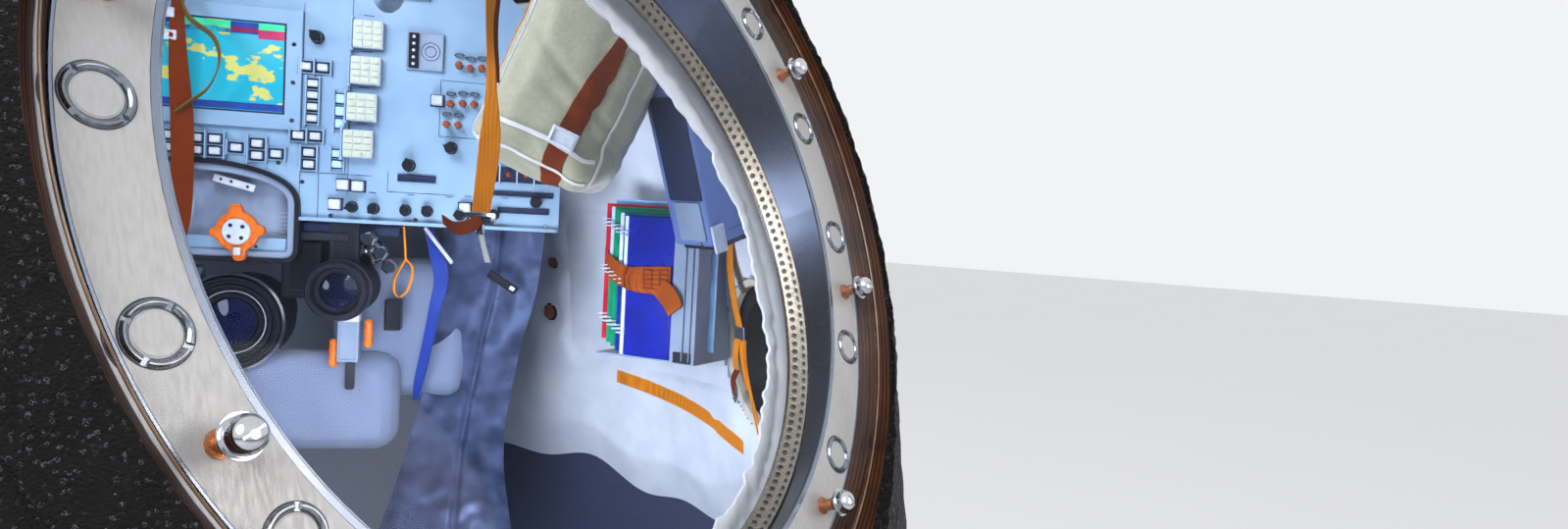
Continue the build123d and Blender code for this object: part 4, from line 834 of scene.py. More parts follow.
def shaped_grid(
    columns: int, rows: int, place: Callable[[float, float], Vector], size: tuple[float, float] = (1.0, 1.0)
) -> bpy.types.Object:
    """Lay a grid primitive over a surface.

    Args:
        columns: Cells along u.
        rows: Cells along v.
        place: Gives the point in metres at u and v, which run from 0 to 1.
        size: Real length and width, for the UV map in metres.

    Returns:
        The shaped grid.
    """
    deselect()
    bpy.ops.mesh.primitive_grid_add(x_subdivisions=columns, y_subdivisions=rows, size=1.0)
    piece = bpy.context.active_object
    for vertex in piece.data.vertices:
        vertex.co = place(vertex.co.x + 0.5, vertex.co.y + 0.5)
    for corner in piece.data.uv_layers.active.data:
        corner.uv = (corner.uv[0] * size[0], corner.uv[1] * size[1])
    return piece


def hoop(
    radius: float, wire: float, steps: int, sides: int, at: Triple = (0, 0, 0), tilt: float = 0.0
) -> bpy.types.Object:
    """Make a round wire ring.

    Args:
        radius: Radius of its middle line.
        wire: Radius of the wire.
        steps: Steps round the ring.
        sides: Steps round the wire.
        at: Its middle.
        tilt: Its turn about X in radians.

    Returns:
        The ring.
    """
    deselect()
    bpy.ops.mesh.primitive_torus_add(
        major_radius=radius * MM,
        minor_radius=wire * MM,
        major_segments=steps,
        minor_segments=sides,
        location=mm(*at),
        rotation=(tilt, 0, 0),
    )
    bpy.ops.object.transform_apply(location=True, rotation=True, scale=True)
    return bpy.context.active_object


def smooth_line(points: list[Vector], t: float) -> Vector:
    """Point on a smooth line through several points.

    Args:
        points: The points.
        t: Share of the way, from 0 to 1.

    Returns:
        The point there.
    """
    spans = len(points) - 1
    index = min(int(t * spans), spans - 1)
    s = t * spans - index
    p1, p2 = points[index], points[index + 1]
    p0 = points[index - 1] if index else p1 * 2 - p2
    p3 = points[index + 2] if index + 2 < len(points) else p2 * 2 - p1
    square, cube = p0 * 2 - p1 * 5 + p2 * 4 - p3, p1 * 3 - p0 - p2 * 3 + p3
    return 0.5 * ((p1 * 2) + (p2 - p0) * s + square * s * s + cube * s**3)


def strap(
    points: list[Vector],
    across: Vector | list[Vector],
    widths: float | list[float],
    thick: float = 1.6,
    ripple: float = 0.0,
    cells: int = 60,
    over: bpy.types.Object | None = None,
) -> bpy.types.Object:
    """Lay a flat woven strap along a line, with its edges rounded over.

    Args:
        points: Points of its middle line, in metres.
        across: Direction of its width at each point, or one for all.
        widths: Its width in millimetres at each point, or one for all.
        thick: Its thickness in millimetres.
        ripple: Height of small waves along it, in millimetres.
        cells: Cells along it.
        over: A stuffed piece that it must lie on and not sink into.

    Returns:
        The strap.
    """
    length = sum((b - a).length for a, b in zip(points, points[1:]))
    across = across if isinstance(across, list) else [across] * len(points)
    widths = widths if isinstance(widths, list) else [widths] * len(points)
    sizes = [Vector((width, 0, 0)) for width in widths]

    def place(u: float, v: float) -> Vector:
        """Point of the strap's face at u along and v across it."""
        middle = smooth_line(points, u)
        way = smooth_line(across, u).normalized()
        ahead = smooth_line(points, min(u + 0.02, 1.0)) - smooth_line(points, max(u - 0.02, 0.0))
        normal = way.cross(ahead).normalized()
        wave = ripple * math.sin(u * length / 0.012) * (0.6 + 0.4 * math.sin(5.0 * v + 9.0 * u))
        return middle + way * (smooth_line(sizes, u).x * MM * (v - 0.5)) + normal * (wave * MM)

    piece = shaped_grid(cells, 6, place, (length, max(widths) * MM))
    if over:
        worked(piece, "SHRINKWRAP", target=over, wrap_mode="OUTSIDE_SURFACE", offset=thick * 0.6 * MM)
    worked(piece, "SOLIDIFY", thickness=thick * MM, offset=0.0)
    return bevelled(piece, thick * 0.3, 1)


def repeated(piece: bpy.types.Object, places: Iterable[Matrix]) -> bpy.types.Object:
    """Copy a piece to several places, each copy with its own mesh, and join the copies.

    Args:
        piece: The piece that is modelled once.
        places: Place matrix of each copy.

    Returns:
        One object of all the copies.
    """
    copies = []
    for place in places:
        copy = piece.copy()
        copy.data = piece.data.copy()
        copy.data.transform(place)
        bpy.context.collection.objects.link(copy)
        copies.append(copy)
    bpy.data.objects.remove(piece)
    return joined(copies)


def joined(pieces: list[bpy.types.Object]) -> bpy.types.Object:
    """Join pieces into the first one.

    Args:
        pieces: The pieces.

    Returns:
        The joined piece.
    """
    if len(pieces) > 1:
        deselect()
        for piece in pieces:
            piece.select_set(True)
        bpy.context.view_layer.objects.active = pieces[0]
        bpy.ops.object.join()
    return pieces[0]


def cut(piece: bpy.types.Object, cutter: bpy.types.Object) -> bpy.types.Object:
    """Cut one piece out of another.

    Args:
        piece: The piece that is cut.
        cutter: The shape that is taken away and deleted.

    Returns:
        The cut piece.
    """
    worked(piece, "BOOLEAN", operation="DIFFERENCE", object=cutter, solver="EXACT")
    bpy.data.objects.remove(cutter)
    return piece


def turned(angle: float, radius: float = 0.0, height: float = 0.0) -> Matrix:
    """Place matrix on a circle round the Z axis, by angle in degrees, radius and height."""
    return Matrix.Rotation(math.radians(angle), 4, "Z") @ Matrix.Translation(mm(radius, 0, height))


def moved(x: float, y: float, z: float = 0.0, roll: float = 0.0) -> Matrix:
    """Place matrix at a point, with a turn about Z in degrees."""
    return Matrix.Translation(mm(x, y, z)) @ Matrix.Rotation(math.radians(roll), 4, "Z")


def wobble(x: float, y: float, z: float, size: float, seed: float = 0.0) -> float:
    """Smooth noise from -1 to 1 at a point, the same in every run, with its grain and point in metres."""
    return noise.noise(Vector((x, y, z)) / size + Vector((seed, seed * 1.7, seed * 0.6)))


def hull_point(azimuth: float, height: float, offset: float = 0.0) -> tuple[Vector, Vector]:
    """Point and outward normal on the hull's form.

    Args:
        azimuth: Azimuth in degrees.
        height: Height in metres.
        offset: How far inwards of the outer face, in metres.

    Returns:
        The point and the normal.
    """
    turn = math.radians(azimuth)
    radius = DOME_R - offset
    tangent = DOME_Z + radius * math.sin(CONE_ANGLE)
    if height > tangent:
        rise = math.asin(min((height - DOME_Z) / radius, 1.0))
        reach = radius * math.cos(rise)
    else:
        rise = CONE_ANGLE
        reach = radius * math.cos(rise) + (tangent - height) * math.tan(rise)
    way = Vector((math.cos(turn), math.sin(turn), 0))
    return way * reach + Vector((0, 0, height)), way * math.cos(rise) + Vector((0, 0, math.sin(rise)))


def wall_frame(azimuth: float, height: float, offset: float = 0.0) -> Matrix:
    """Frame on the hull's form, X along its girth, Y up its slope and Z outwards.

    Args:
        azimuth: Azimuth in degrees.
        height: Height in metres.
        offset: How far inwards of the outer face, in metres.

    Returns:
        The frame's place matrix.
    """
    point, normal = hull_point(azimuth, height, offset)
    turn = math.radians(azimuth)
    return frame_at(point, (-math.sin(turn), math.cos(turn), 0), normal)


def mouth_reach(point: Vector) -> float:
    """Distance of a point from the mouth's axis, or a large number behind the cabin's middle."""
    local = MOUTH.inverted() @ point
    return math.hypot(local.x, local.y) if local.z > -0.45 else 9.0


@dataclass
class Assembly:
    """A sub-assembly of the capsule.

    Attributes:
        paint: The materials.
        body: The CAD body that its pieces ride on.
    """

    paint: Paintbox
    body: str = CAPSULE

    def dressed(self, piece: bpy.types.Object, finish: Finish) -> bpy.types.Object:
        """Give a piece its finish, and give it back."""
        self.paint.dress(piece, finish)
        return piece

    def handed(
        self,
        name: str,
        pieces: list[bpy.types.Object],
        place: Matrix | None = None,
        nodes: tuple[str, ...] = (),
    ) -> bpy.types.Object:
        """Join pieces into one named piece in the capsule's frame that rides on the body.

        Args:
            name: The piece's name.
            pieces: Its parts, each with its finish.
            place: The local frame that they were made in.
            nodes: CAD nodes that it stands for.

        Returns:
            The finished piece.
        """
        piece = joined(pieces)
        piece.data.transform((place or Matrix.Identity(4)) @ piece.matrix_world)
        piece.matrix_world = Matrix.Identity(4)
        piece.name = name
        piece.data.name = name
        choose(piece)
        bpy.ops.object.shade_smooth_by_angle(angle=math.radians(SMOOTH))
        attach(piece, self.body)
        if nodes:
            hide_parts(*nodes)
        log.info("piece %s: %d faces", name, len(piece.data.polygons))
        return piece


@dataclass
class HullCrust(Assembly):
    """Burnt relief of the ablator over the CAD shells.

    Attributes:
        cell: Cell size in metres, as all the sizes here.
        height: Height of the lumps.
        low: Height where the crust starts above the floor.
        nose: Radius where it ends at the top.
        mouth_edge: Radius where it ends round the mouth.
        fade: Width over which it thins out towards an opening.
        sink: How far its thinned edge lies under the skin.
        lip: Inner radius of the lip round the mouth.
        lip_width: Width of the lip.
    """

    cell: float = 0.015
    height: float = 0.009
    low: float = 0.096
    nose: float = 0.404
    mouth_edge: float = 0.450
    fade: float = 0.018
    sink: float = 0.0012
    lip: float = 0.4328
    lip_width: float = 0.046

    def openings(self) -> list[tuple[Vector, Vector, float]]:
        """Middle, axis and radius of each fitting that the crust stops at."""
        spots = [(port, 0.136) for port in PORTS.values()] + [(spot, 0.040) for spot in THRUSTERS]
        spots += [(RESERVE, 0.196), (PERISCOPE, 0.068), (UMBILICAL, 0.150)]
        return [(*hull_point(*spot), radius) for spot, radius in spots]

    def roll(self) -> None:
        """Make the burnt lip that rolls over the laminate's edge all round the mouth."""

        def place(u: float, v: float) -> Vector:
            """Point of the lip at u round the mouth and v outwards across it."""
            turn = 2 * math.pi * u
            reach = self.lip + self.lip_width * max(v - 0.12, 0.0) / 0.88
            flat = MOUTH @ Vector((reach * math.cos(turn), reach * math.sin(turn), 0))
            low, high = -0.05, 0.30
            for _ in range(22):
                middle = (low + high) / 2
                point = flat + MOUTH_NORMAL * middle
                if math.hypot(point.x, point.y) < hull_point(0.0, point.z)[0].x:
                    low = middle
                else:
                    high = middle
            point = flat + MOUTH_NORMAL * low
            lump = wobble(*point, 0.034, 5.0) * 0.5 + wobble(*point, 0.012, 8.0) * 0.6
            lump += wobble(*point, 0.006, 2.0) * 0.3
            rise = 0.0055 + 0.0045 * lump
            if v < 0.06:
                rise = -0.010
            elif v > 0.96:
                rise = -0.002
            return point + MOUTH_NORMAL * rise

        piece = shaped_grid(430, 16, place)
        welded(piece, 0.0001)
        self.handed("mouth_crust", [self.dressed(piece, CHAR)])

    def build(self) -> None:
        """Lay the crust over the hull and cut it at the openings."""
        self.roll()
        openings = self.openings()
        top = DOME_Z + math.sqrt(DOME_R**2 - self.nose**2)
        tangent = DOME_Z + DOME_R * math.sin(CONE_ANGLE)
        slope = (tangent - self.low) / math.cos(CONE_ANGLE)
        arc = DOME_R * (math.acos(self.nose / DOME_R) - CONE_ANGLE)
        rows = int((slope + arc) / self.cell)
        columns = int(2 * math.pi * 1.02 / self.cell)

        def room(point: Vector) -> float:
            """Distance in metres from the nearest opening's edge."""
            near = mouth_reach(point) - self.mouth_edge
            for middle, axis, radius in openings:
                gap = point - middle
                if gap.length < 0.4:
                    near = min(near, (gap - axis * gap.dot(axis)).length - radius)
            return min(near, point.z - self.low + 0.004, top - point.z + 0.004)

        def place(u: float, v: float) -> Vector:
            """Point of the crust at u round and v up the hull."""
            run = v * (slope + arc)
            if run < slope:
                height = self.low + run * math.cos(CONE_ANGLE)
            else:
                height = DOME_Z + DOME_R * math.sin(CONE_ANGLE + (run - slope) / DOME_R)
            point, normal = hull_point(360.0 * u, min(height, top))
            lump = wobble(*point, 0.090, 3.0) * 0.5 + wobble(*point, 0.034, 5.0) * 0.55
            lump += wobble(*point, 0.016, 8.0) * 0.4
            edge = max(0.0, min(1.0, room(point) / self.fade))
            rise = (0.35 + 0.65 * lump) * self.height * edge - self.sink * (1.0 - edge)
            return point + normal * max(rise, -self.sink)

        piece = shaped_grid(columns, rows, place)
        with edited(piece):
            pick(piece, lambda middle, normal: room(middle) < 0.004 and 0.12 < middle.z < top - 0.02)
            bpy.ops.mesh.delete(type="FACE")
        self.handed("hull_crust", [self.dressed(welded(piece, 0.0001), CHAR)])


@dataclass
class MouthRing(Assembly):
    """Insert nuts, standoffs and edge trims of the side mouth's flange.

    Attributes:
        circle: Radius of the circle of nuts and spacers.
        count: Number of nuts.
        start: Angle of the first nut in degrees.
        slots: Places of the spacers, in steps between nuts.
    """

    circle: float = 385.0
    count: int = 18
    start: float = 34.9
    slots: tuple[float, ...] = (0.5, 2.5, 4.5, 6.5, 7.5, 9.5, 11.5, 13.5, 15.5, 16.5)

    def nut(self) -> bpy.types.Object:
        """Model one notched ring nut, with a black ring in the gap round its plug and a black line round its
        outer edge, both painted shade.
        """
        ring = spun(
            [
                (13.7, -5.6), (19.4, -5.6), (19.4, 0.7), (18.9, 1.6), (17.6, 2.9), (16.9, 3.0), (16.1, 2.8),
                (14.4, 0.9), (13.9, 0.2), (13.7, -1.0),
            ],
            64,
        )
        notches = repeated(block((17, 0, 2.2), (9, 3.6, 3.0), 0.0), [turned(45 + 90 * n) for n in range(4)])
        ring = cut(ring, notches)
        worked(ring, "BEVEL", width=0.25 * MM, segments=1, limit_method="ANGLE", angle_limit=math.radians(55))
        self.dressed(ring, NUT_STEEL)
        plug = self.dressed(spun([(0, -3.0), (12.9, -3.0), (12.9, 0.1), (12.5, 0.5), (0, 0.5)], 40), ALLOY)
        # Black rings in the gap round the plug and round the nut's outer edge: painted shade
        gap_shade = spun([(12.8, -2.6), (14.1, -2.6), (14.1, -0.4), (12.8, -0.4)], 40)
        rim = spun([(19.2, -2.0), (20.1, -2.0), (20.1, 0.16), (19.2, 0.30)], 64)
        self.dressed(gap_shade, BLACK)
        self.dressed(rim, BLACK)
        return joined([ring, plug, gap_shade, rim])

    def standoff(self) -> bpy.types.Object:
        """Model one spacer: washer, grooved copper shaft, and domed chrome head with a slot."""
        shaft = spun(
            [(0, 0.3), (8.6, 0.3), (8.6, 1.6), (5.8, 2.2), (5.6, 12.6), (6.4, 13.2), (6.4, 14.7), (0, 14.7)],
            32,
        )
        self.dressed(shaft, COPPER)
        head = spun(
            [
                (0, 23.2), (10.4, 23.2), (11.3, 24.2), (11.5, 26.0), (11.5, 29.0), (10.9, 32.2), (9.2, 35.2),
                (6.4, 37.3), (3.2, 38.1), (0, 38.3),
            ],
            40,
        )
        cut(head, block((0, 0, 38.4), (30, 1.6, 3.4), 0.0))
        self.dressed(head, CHROME)
        washer = self.dressed(spun([(6.0, 23.1), (13.2, 23.1), (13.2, 24.3), (6.0, 24.3)], 32), CHROME)
        return joined([shaft, head, washer])

    def build(self) -> None:
        """Make the nuts, the spacers and the bright edge lines."""
        steps = 360 / self.count
        nuts = repeated(self.nut(), [turned(self.start - steps * n, self.circle) for n in range(self.count)])
        self.handed("ring_nuts", [nuts], MOUTH, ("insert_nuts",))
        spacers = repeated(self.standoff(), [turned(self.start - steps * n, self.circle) for n in self.slots])
        self.handed("pane_spacers", [spacers], MOUTH, ("standoffs", "standoff_heads"))
        inner = spun([(351.6, -2.2), (352.0, 0.1), (352.5, 0.5), (353.1, 0.4), (353.4, 0.05)], 180)
        outer = spun([(405.6, 0.1), (406.4, 0.7), (407.9, 0.7), (408.4, -0.3), (408.4, -3.0)], 180)
        seal = spun([(408.9, -1.6), (410.6, 0.9), (412.6, 1.2), (413.2, -1.6)], 180)
        self.dressed(inner, POLISHED)
        self.dressed(outer, POLISHED)
        self.dressed(seal, BLACK)
        self.handed("flange_edges", [inner, outer, seal], MOUTH)
        # The pane's edge ring takes the warm beige of the bright line along the edge: painted highlight
        rim = spun(
            [(418.9, 20.2), (419.9, 20.9), (419.9, 22.1), (419.0, 22.8), (418.5, 22.2), (418.5, 20.6)], 180
        )
        self.handed("pane_edge", [self.dressed(rim, PANE_EDGE)], MOUTH)


@dataclass
class PerforatedStrip(Assembly):
    """Two rows of small holes in the rolled strip of the tunnel's inner end.

    Attributes:
        count: Number of holes in a row.
        radius: Radius of a hole.
    """

    count: int = 214
    radius: float = 2.7

    def eyelet(self, radius: float) -> bpy.types.Object:
        """Model one hole: a raised lip round a black disc just below it, the disc being painted shade in the
        hole.

        Args:
            radius: Radius of the hole.

        Returns:
            The hole, facing up Z.
        """
        lip = spun([(radius, -0.6), (radius + 0.9, -0.2), (radius + 0.5, 0.5), (radius, 0.4)], 10)
        self.dressed(lip, ROLLED)
        # A black disc in the hole: painted shade
        deselect()
        bpy.ops.mesh.primitive_circle_add(
            vertices=10, radius=radius * 1.05 * MM, fill_type="NGON", location=mm(0, 0, 0.12)
        )
        floor = bpy.context.active_object
        bpy.ops.object.transform_apply(location=True)
        self.dressed(floor, BLACK)
        return joined([lip, floor])

    def build(self) -> None:
        """Set both rows on the strip's rounded face."""
        lean = Matrix.Rotation(math.radians(-46), 4, "Y")
        for name, reach, height, radius, scale in (
            ("strip_holes_inner", 341.4, -9.2, self.radius, (1.0, 1.0, 1.0)),
            ("strip_holes_outer", 348.0, -2.6, self.radius * 0.8, (0.8, 1.35, 1.0)),
        ):
            step = 360 / self.count
            shift = step / 2 if height > -5 else 0.0
            stretch = Matrix.Diagonal((*scale, 1.0))
            places = [turned(n * step + shift, reach, height) @ lean @ stretch for n in range(self.count)]
            self.handed(name, [repeated(self.eyelet(radius), places)], STRIP)


@dataclass
class Linings(Assembly):
    """Padded wall linings and the torn cloth edge round the mouth.

    Attributes:
        offset: How far inwards of the hull's face the padding's back lies, in metres as all lengths here.
        hem_height: Height of the white lining's lower edge, without its waves.
        mouth_edge: Radius where the linings end round the mouth.
        dark_top: Height where the dark lower padding ends.
        white: First and last azimuth of the white lining in degrees.
        low: Height where the other linings start.
        high: Height where the linings end.
    """

    offset: float = 0.0655
    hem_height: float = 0.715
    mouth_edge: float = 0.4225
    dark_top: float = 0.80
    white: tuple[float, float] = (-76.0, 22.0)
    low: float = 0.432
    high: float = 1.618

    def hem(self, azimuth: float) -> float:
        """Height of the white lining's wavy lower edge at an azimuth in degrees."""
        turn = math.radians(azimuth)
        wave = 0.022 * math.sin(9.0 * turn + 0.4) + 0.012 * math.sin(23.0 * turn)
        return self.hem_height + wave + 0.0004 * max(azimuth, 0) ** 1.4

    def pad(
        self,
        name: str,
        start: float,
        end: float,
        cell: float,
        puff: float,
        finish: Finish,
        nodes: tuple[str, ...],
    ) -> None:
        """Lay one padded lining between two azimuths.

        Args:
            name: The piece's name.
            start: First azimuth in degrees.
            end: Last azimuth in degrees.
            cell: Cell size in metres.
            puff: Height of its quilting and creases in metres.
            finish: Its cloth.
            nodes: The CAD nodes that it stands for.
        """
        white, dark = finish is WHITE_CLOTH, finish is DARK_CLOTH
        deep, thick = (-0.012, 0.006) if dark else (0.0, 0.010)
        top = self.dark_top if dark else self.high
        holes = [(*port, 131.0) for port in PORTS.values()] + list(WALL_HOLES.values())
        spots = [(*hull_point(azimuth, height, 0.08), radius * MM) for azimuth, height, radius in holes]

        def inside(point: Vector) -> float:
            """Distance from the nearest opening's edge."""
            near = mouth_reach(point) - self.mouth_edge
            for middle, axis, radius in spots:
                gap = point - middle
                if gap.length < 0.3:
                    near = min(near, (gap - axis * gap.dot(axis)).length - radius)
            return near

        def place(u: float, v: float) -> Vector:
            """Point of the lining's inner face."""
            azimuth = start + (end - start) * u
            low = self.hem(azimuth) if white else self.low
            height = low + (top - low) * v
            point, normal = hull_point(azimuth, height, self.offset + deep)
            edge = min(1.0, 8 * min(u, 1 - u) + 0.15, 10 * min(v, 1 - v) + 0.15)
            near = max(0.0, min(1.0, inside(point) / 0.030))
            soft = wobble(*point, 0.22, 2.0) * 0.5 + abs(wobble(*point, 0.11, 6.0)) * 0.5
            crease = abs(wobble(point.x * 2.2, point.y * 2.2, point.z * 0.8, 0.075, 4.0)) ** 0.6
            rise = (0.55 + 0.25 * soft + 0.35 * crease) * puff * edge * (0.35 + 0.65 * near)
            if white:
                side, tall = (azimuth + 17.0) * 0.0147, height - 1.105
                gap = math.hypot(max(abs(side) - 0.295, 0.0), max(abs(tall) - 0.10, 0.0)) - 0.055
                rise += 0.012 * max(0.0, min(1.0, gap / 0.010)) * near * edge
            return point - normal * (0.012 * edge + rise)

        girth = 0.88 * math.radians(end - start)
        tall = top - (self.hem_height if white else self.low)
        piece = shaped_grid(int(girth / cell), int(tall / cell), place, (girth, tall))
        with edited(piece):
            pick(piece, lambda middle, normal: inside(middle) < 0.002)
            bpy.ops.mesh.delete(type="FACE")
        worked(piece, "SOLIDIFY", thickness=thick, offset=-1.0)
        made = self.handed(name, [self.dressed(piece, finish)], None, nodes)

    def sleeve(self) -> None:
        """Make the cloth between the tube and the linings, with its torn edge showing inside the strip."""

        def place(u: float, v: float) -> Vector:
            """Point of the sleeve at u round the mouth and v along its section."""
            turn = 2 * math.pi * u
            up = math.sin(turn) * 352.0
            strip = -46.0 - 0.0915 * up
            ragged = 5.0 * wobble(math.cos(turn), math.sin(turn), 0, 0.16, 1.0) + 3.5 * wobble(
                math.cos(turn), math.sin(turn), 0, 0.045, 7.0
            )
            wide = 15.0 * math.exp(-(((math.degrees(turn) - 38.0) / 26.0) ** 2))
            line = [
                Vector((416, 0, -34)),
                Vector((400, 0, (strip - 64) / 2 - 14)),
                Vector((372, 0, strip - 34)),
                Vector((356, 0, strip - 44)),
                Vector((341 - wide * 0.4, 0, strip - 40 + ragged * 0.5)),
                Vector((327 - wide + ragged, 0, strip - 38 + ragged * 0.4)),
            ]
            spot = smooth_line(line, v)
            fold = 2.2 * wobble(math.cos(turn) * 1.5, math.sin(turn) * 1.5, v * 0.2, 0.06, 3.0)
            return mm((spot.x + fold) * math.cos(turn), (spot.x + fold) * math.sin(turn), spot.z + fold)

        piece = shaped_grid(420, 22, place, (2.3, 0.12))
        welded(piece, 0.0001)
        worked(piece, "SOLIDIFY", thickness=0.003, offset=0.0)
        # The torn cloth is a whiter copy of the white lining's cloth: painted light
        made = self.handed("mouth_cloth", [self.dressed(piece, TORN_CLOTH)], MOUTH, ("mouth_sleeve",))

    def trims(self) -> None:
        """Make the trims and the russet knobs of the two small holes in the white lining."""
        for name, (azimuth, height, radius) in WALL_HOLES.items():
            ring = spun(
                [(radius - 2, -6), (radius + 4, -6), (radius + 6, 1), (radius + 4, 4), (radius - 1, 3)], 40
            )
            cup = spun([(0, -9), (radius, -9), (radius, -8), (0, -8)], 40)
            knob = spun([(0, -9), (6, -9), (8, -4), (radius * 0.66, 0), (radius * 0.56, 6), (0, 8)], 32)
            resized(knob, (0.8, 1.0, 1.0))
            parts = [self.dressed(ring, WHITE_CLOTH), self.dressed(cup, BLACK), self.dressed(knob, RUSSET)]
            self.handed(name, parts, wall_frame(azimuth, height, 0.0905) @ Matrix.Rotation(math.pi, 4, "X"))

    def build(self) -> None:
        """Make the linings and the sleeve."""
        self.pad("white_padding", *self.white, 0.0078, 0.005, WHITE_CLOTH, ("white_lining",))
        self.pad("lower_padding", *self.white, 0.012, 0.003, DARK_CLOTH, ())
        self.pad(
            "grey_padding", self.white[1] + 0.2, self.white[0] + 359.8, 0.013, 0.009, GREY_CLOTH,
            ("grey_lining",),
        )
        self.sleeve()
        self.trims()


@dataclass
class Console(Assembly):
    """Face of the console: screen, keys, indicators, knobs, switches and gauge."""

    keys: tuple[tuple[float, ...], ...] = (
        (-70, 100, 2, 1, 25, 20, 17, 15, 12),
        (-71, 46, 1, 4, 20, 18.5, 17, 14, 12),
        (-78, -10, 2, 1, 25, 20, 17, 15, 12),
        (-74, -46, 1, 2, 25, 19, 17, 15, 12),
        (-224, -34, 2, 2, 27, 19, 17, 15, 12),
        (-180, -36, 1, 1, 27, 19, 17, 15, 12),
        (-150, -37, 1, 2, 27, 19, 17, 15, 12),
        (-122, -42, 1, 1, 27, 19, 17, 15, 12),
        (-290, -32, 2, 2, 27, 19, 17, 15, 12),
    )
    pale_keys: tuple[tuple[float, ...], ...] = (
        (-29, 33, 1, 3, 20, 20, 17, 18, 9), (-32, -44, 1, 2, 20, 17, 17, 15, 9)
    )
    cream_caps: tuple[tuple[float, float], ...] = ((-22, -85), (1, -86), (-33, -117), (118, 62), (168, -112))
    indicators: tuple[tuple[float, float], ...] = ((10, 158), (8, 100), (4, 41), (0, -18))
    knobs: tuple[tuple[float, float, float, float], ...] = (
        (-68, 148, 9, 24),
        (77, -47, 9, 26),
        (142, -14, 9, 24),
        (-8, -120, 8, 22),
        (25, -121, 8, 22),
        (74, -121, 8, 20),
        (108, -121, 8, 20),
        (160, -124, 8, 22),
        (214, -121, 8, 20),
        (282, -96, 8, 20),
    )
    switches: tuple[tuple[float, float], ...] = (
        (150, 122), (168, 118), (139, 58), (158, 60), (134, 24), (152, 24), (186, 120), (176, 60),
    )
    gauge: tuple[float, float] = (96, 140)

    def key_frames(self) -> None:
        """Make the key caps between their pale rails over dark slots."""
        caps, rails, slots, pale = [], [], [], []
        for x, y, columns, rows, pitch_x, pitch_y, width, height, proud in (*self.keys, *self.pale_keys):
            wide, tall = columns * pitch_x, rows * pitch_y
            slots.append(block((x, y, 0.8), (wide + 3, tall + 2, 1.8), 0.3, 1))
            for column in range(int(columns) + 1):
                rail_x = x - wide / 2 + column * pitch_x
                rails.append(block((rail_x, y, proud / 2), (2.4, tall + 6, proud), 0.5))
            for row in range(int(rows) + 1):
                rail_y = y - tall / 2 + row * pitch_y
                rails.append(block((x, rail_y, proud * 0.18), (wide, 1.8, proud * 0.36), 0.3, 1))
            for column in range(int(columns)):
                for row in range(int(rows)):
                    spot = (x + (column - (columns - 1) / 2) * pitch_x, y + (row - (rows - 1) / 2) * pitch_y)
                    cap = block((*spot, proud * 0.52), (width - 1.5, height - 4, proud * 0.92), 1.6, 3)
                    cap = dished(cap, 1.2, -0.7, proud * 0.98)
                    (pale if proud < 10 else caps).append(cap)
        for x, y in self.cream_caps:
            slots.append(block((x, y, 0.8), (23, 20, 1.8), 0.3, 1))
            caps.append(dished(block((x, y, 8), (18, 16, 15), 2.2, 3), 1.6, -0.8, 15.5))
        parts = [
            self.dressed(joined(caps), CREAM),
            self.dressed(joined(rails), ENAMEL),
            self.dressed(joined(slots), NAVY),
            self.dressed(joined(pale), PALE_KEY),
        ]
        self.handed("keys", parts, CONSOLE, ("key_blocks",))

    def windows(self) -> None:
        """Make the indicator blocks, each with twelve small windows that glow faintly as painted glow, and a
        hinged edge strip.
        """
        body = self.dressed(block((0, 0, 9.2), (45, 44, 18.4), 1.0), CREAM)
        cell = self.dressed(block((0, 0, 19), (12.6, 9.0, 2.4), 0.5), PAINTED_GLOW_CREAM)
        cells = repeated(cell, [moved(14.2 * (c - 1), 10.6 * (r - 1.5)) for c in range(3) for r in range(4)])
        hinge = self.dressed(block((-25.4, 0, 14), (3.0, 47, 7), 0.9), ENAMEL)
        lugs = repeated(
            self.dressed(spun([(0, 0), (3.2, 0), (3.2, 17), (2.4, 18), (0, 18)], 16), ENAMEL),
            [moved(-25.4, 24.5), moved(-25.4, -24.5)],
        )
        unit = joined([body, cells, hinge, lugs])
        self.handed(
            "indicator_panes", [repeated(unit, [moved(x, y) for x, y in self.indicators])], CONSOLE,
            ("indicators",),
        )

    def controls(self) -> None:
        """Make the knobs and the capped switches with their guard loops."""
        knobs = []
        for x, y, radius, length in self.knobs:
            knob = spun(
                [
                    (0, 0), (radius + 1.6, 0), (radius + 1.6, 2.2), (radius * 0.86, 4.2), (radius, 6.5),
                    (radius * 0.94, length - 1.4), (radius * 0.8, length), (0, length),
                ],
                28,
            )
            grip = block((0, 0, length * 0.6), (radius * 2.5, radius * 0.55, length * 0.7), 1.2)
            knobs.append(repeated(joined([knob, grip]), [moved(x, y, 0, 25 + x)]))
        self.handed("knobs", [self.dressed(joined(knobs), BLACK)], CONSOLE, ("console_knobs",))
        base = self.dressed(spun([(0, 0), (6.4, 0), (6.4, 2.4), (4.4, 3.6), (4.4, 8), (0, 8)], 6), CHROME)
        outline = [(0, 7), (3.6, 7), (3.9, 10), (5.4, 13.5), (5.8, 17.0), (5.2, 19.6), (3.0, 21), (0, 21.4)]
        cap = self.dressed(spun(outline, 24), RUSSET)
        loop = resized(hoop(5.2, 1.1, 24, 8, (0, 17, 4)), (1.35, 0.62, 1.5), mm(0, 17, 4))
        switch = joined([base, cap, self.dressed(loop, CHROME)])
        self.handed(
            "switches", [repeated(switch, [moved(x, y) for x, y in self.switches])], CONSOLE,
            ("console_switches",),
        )

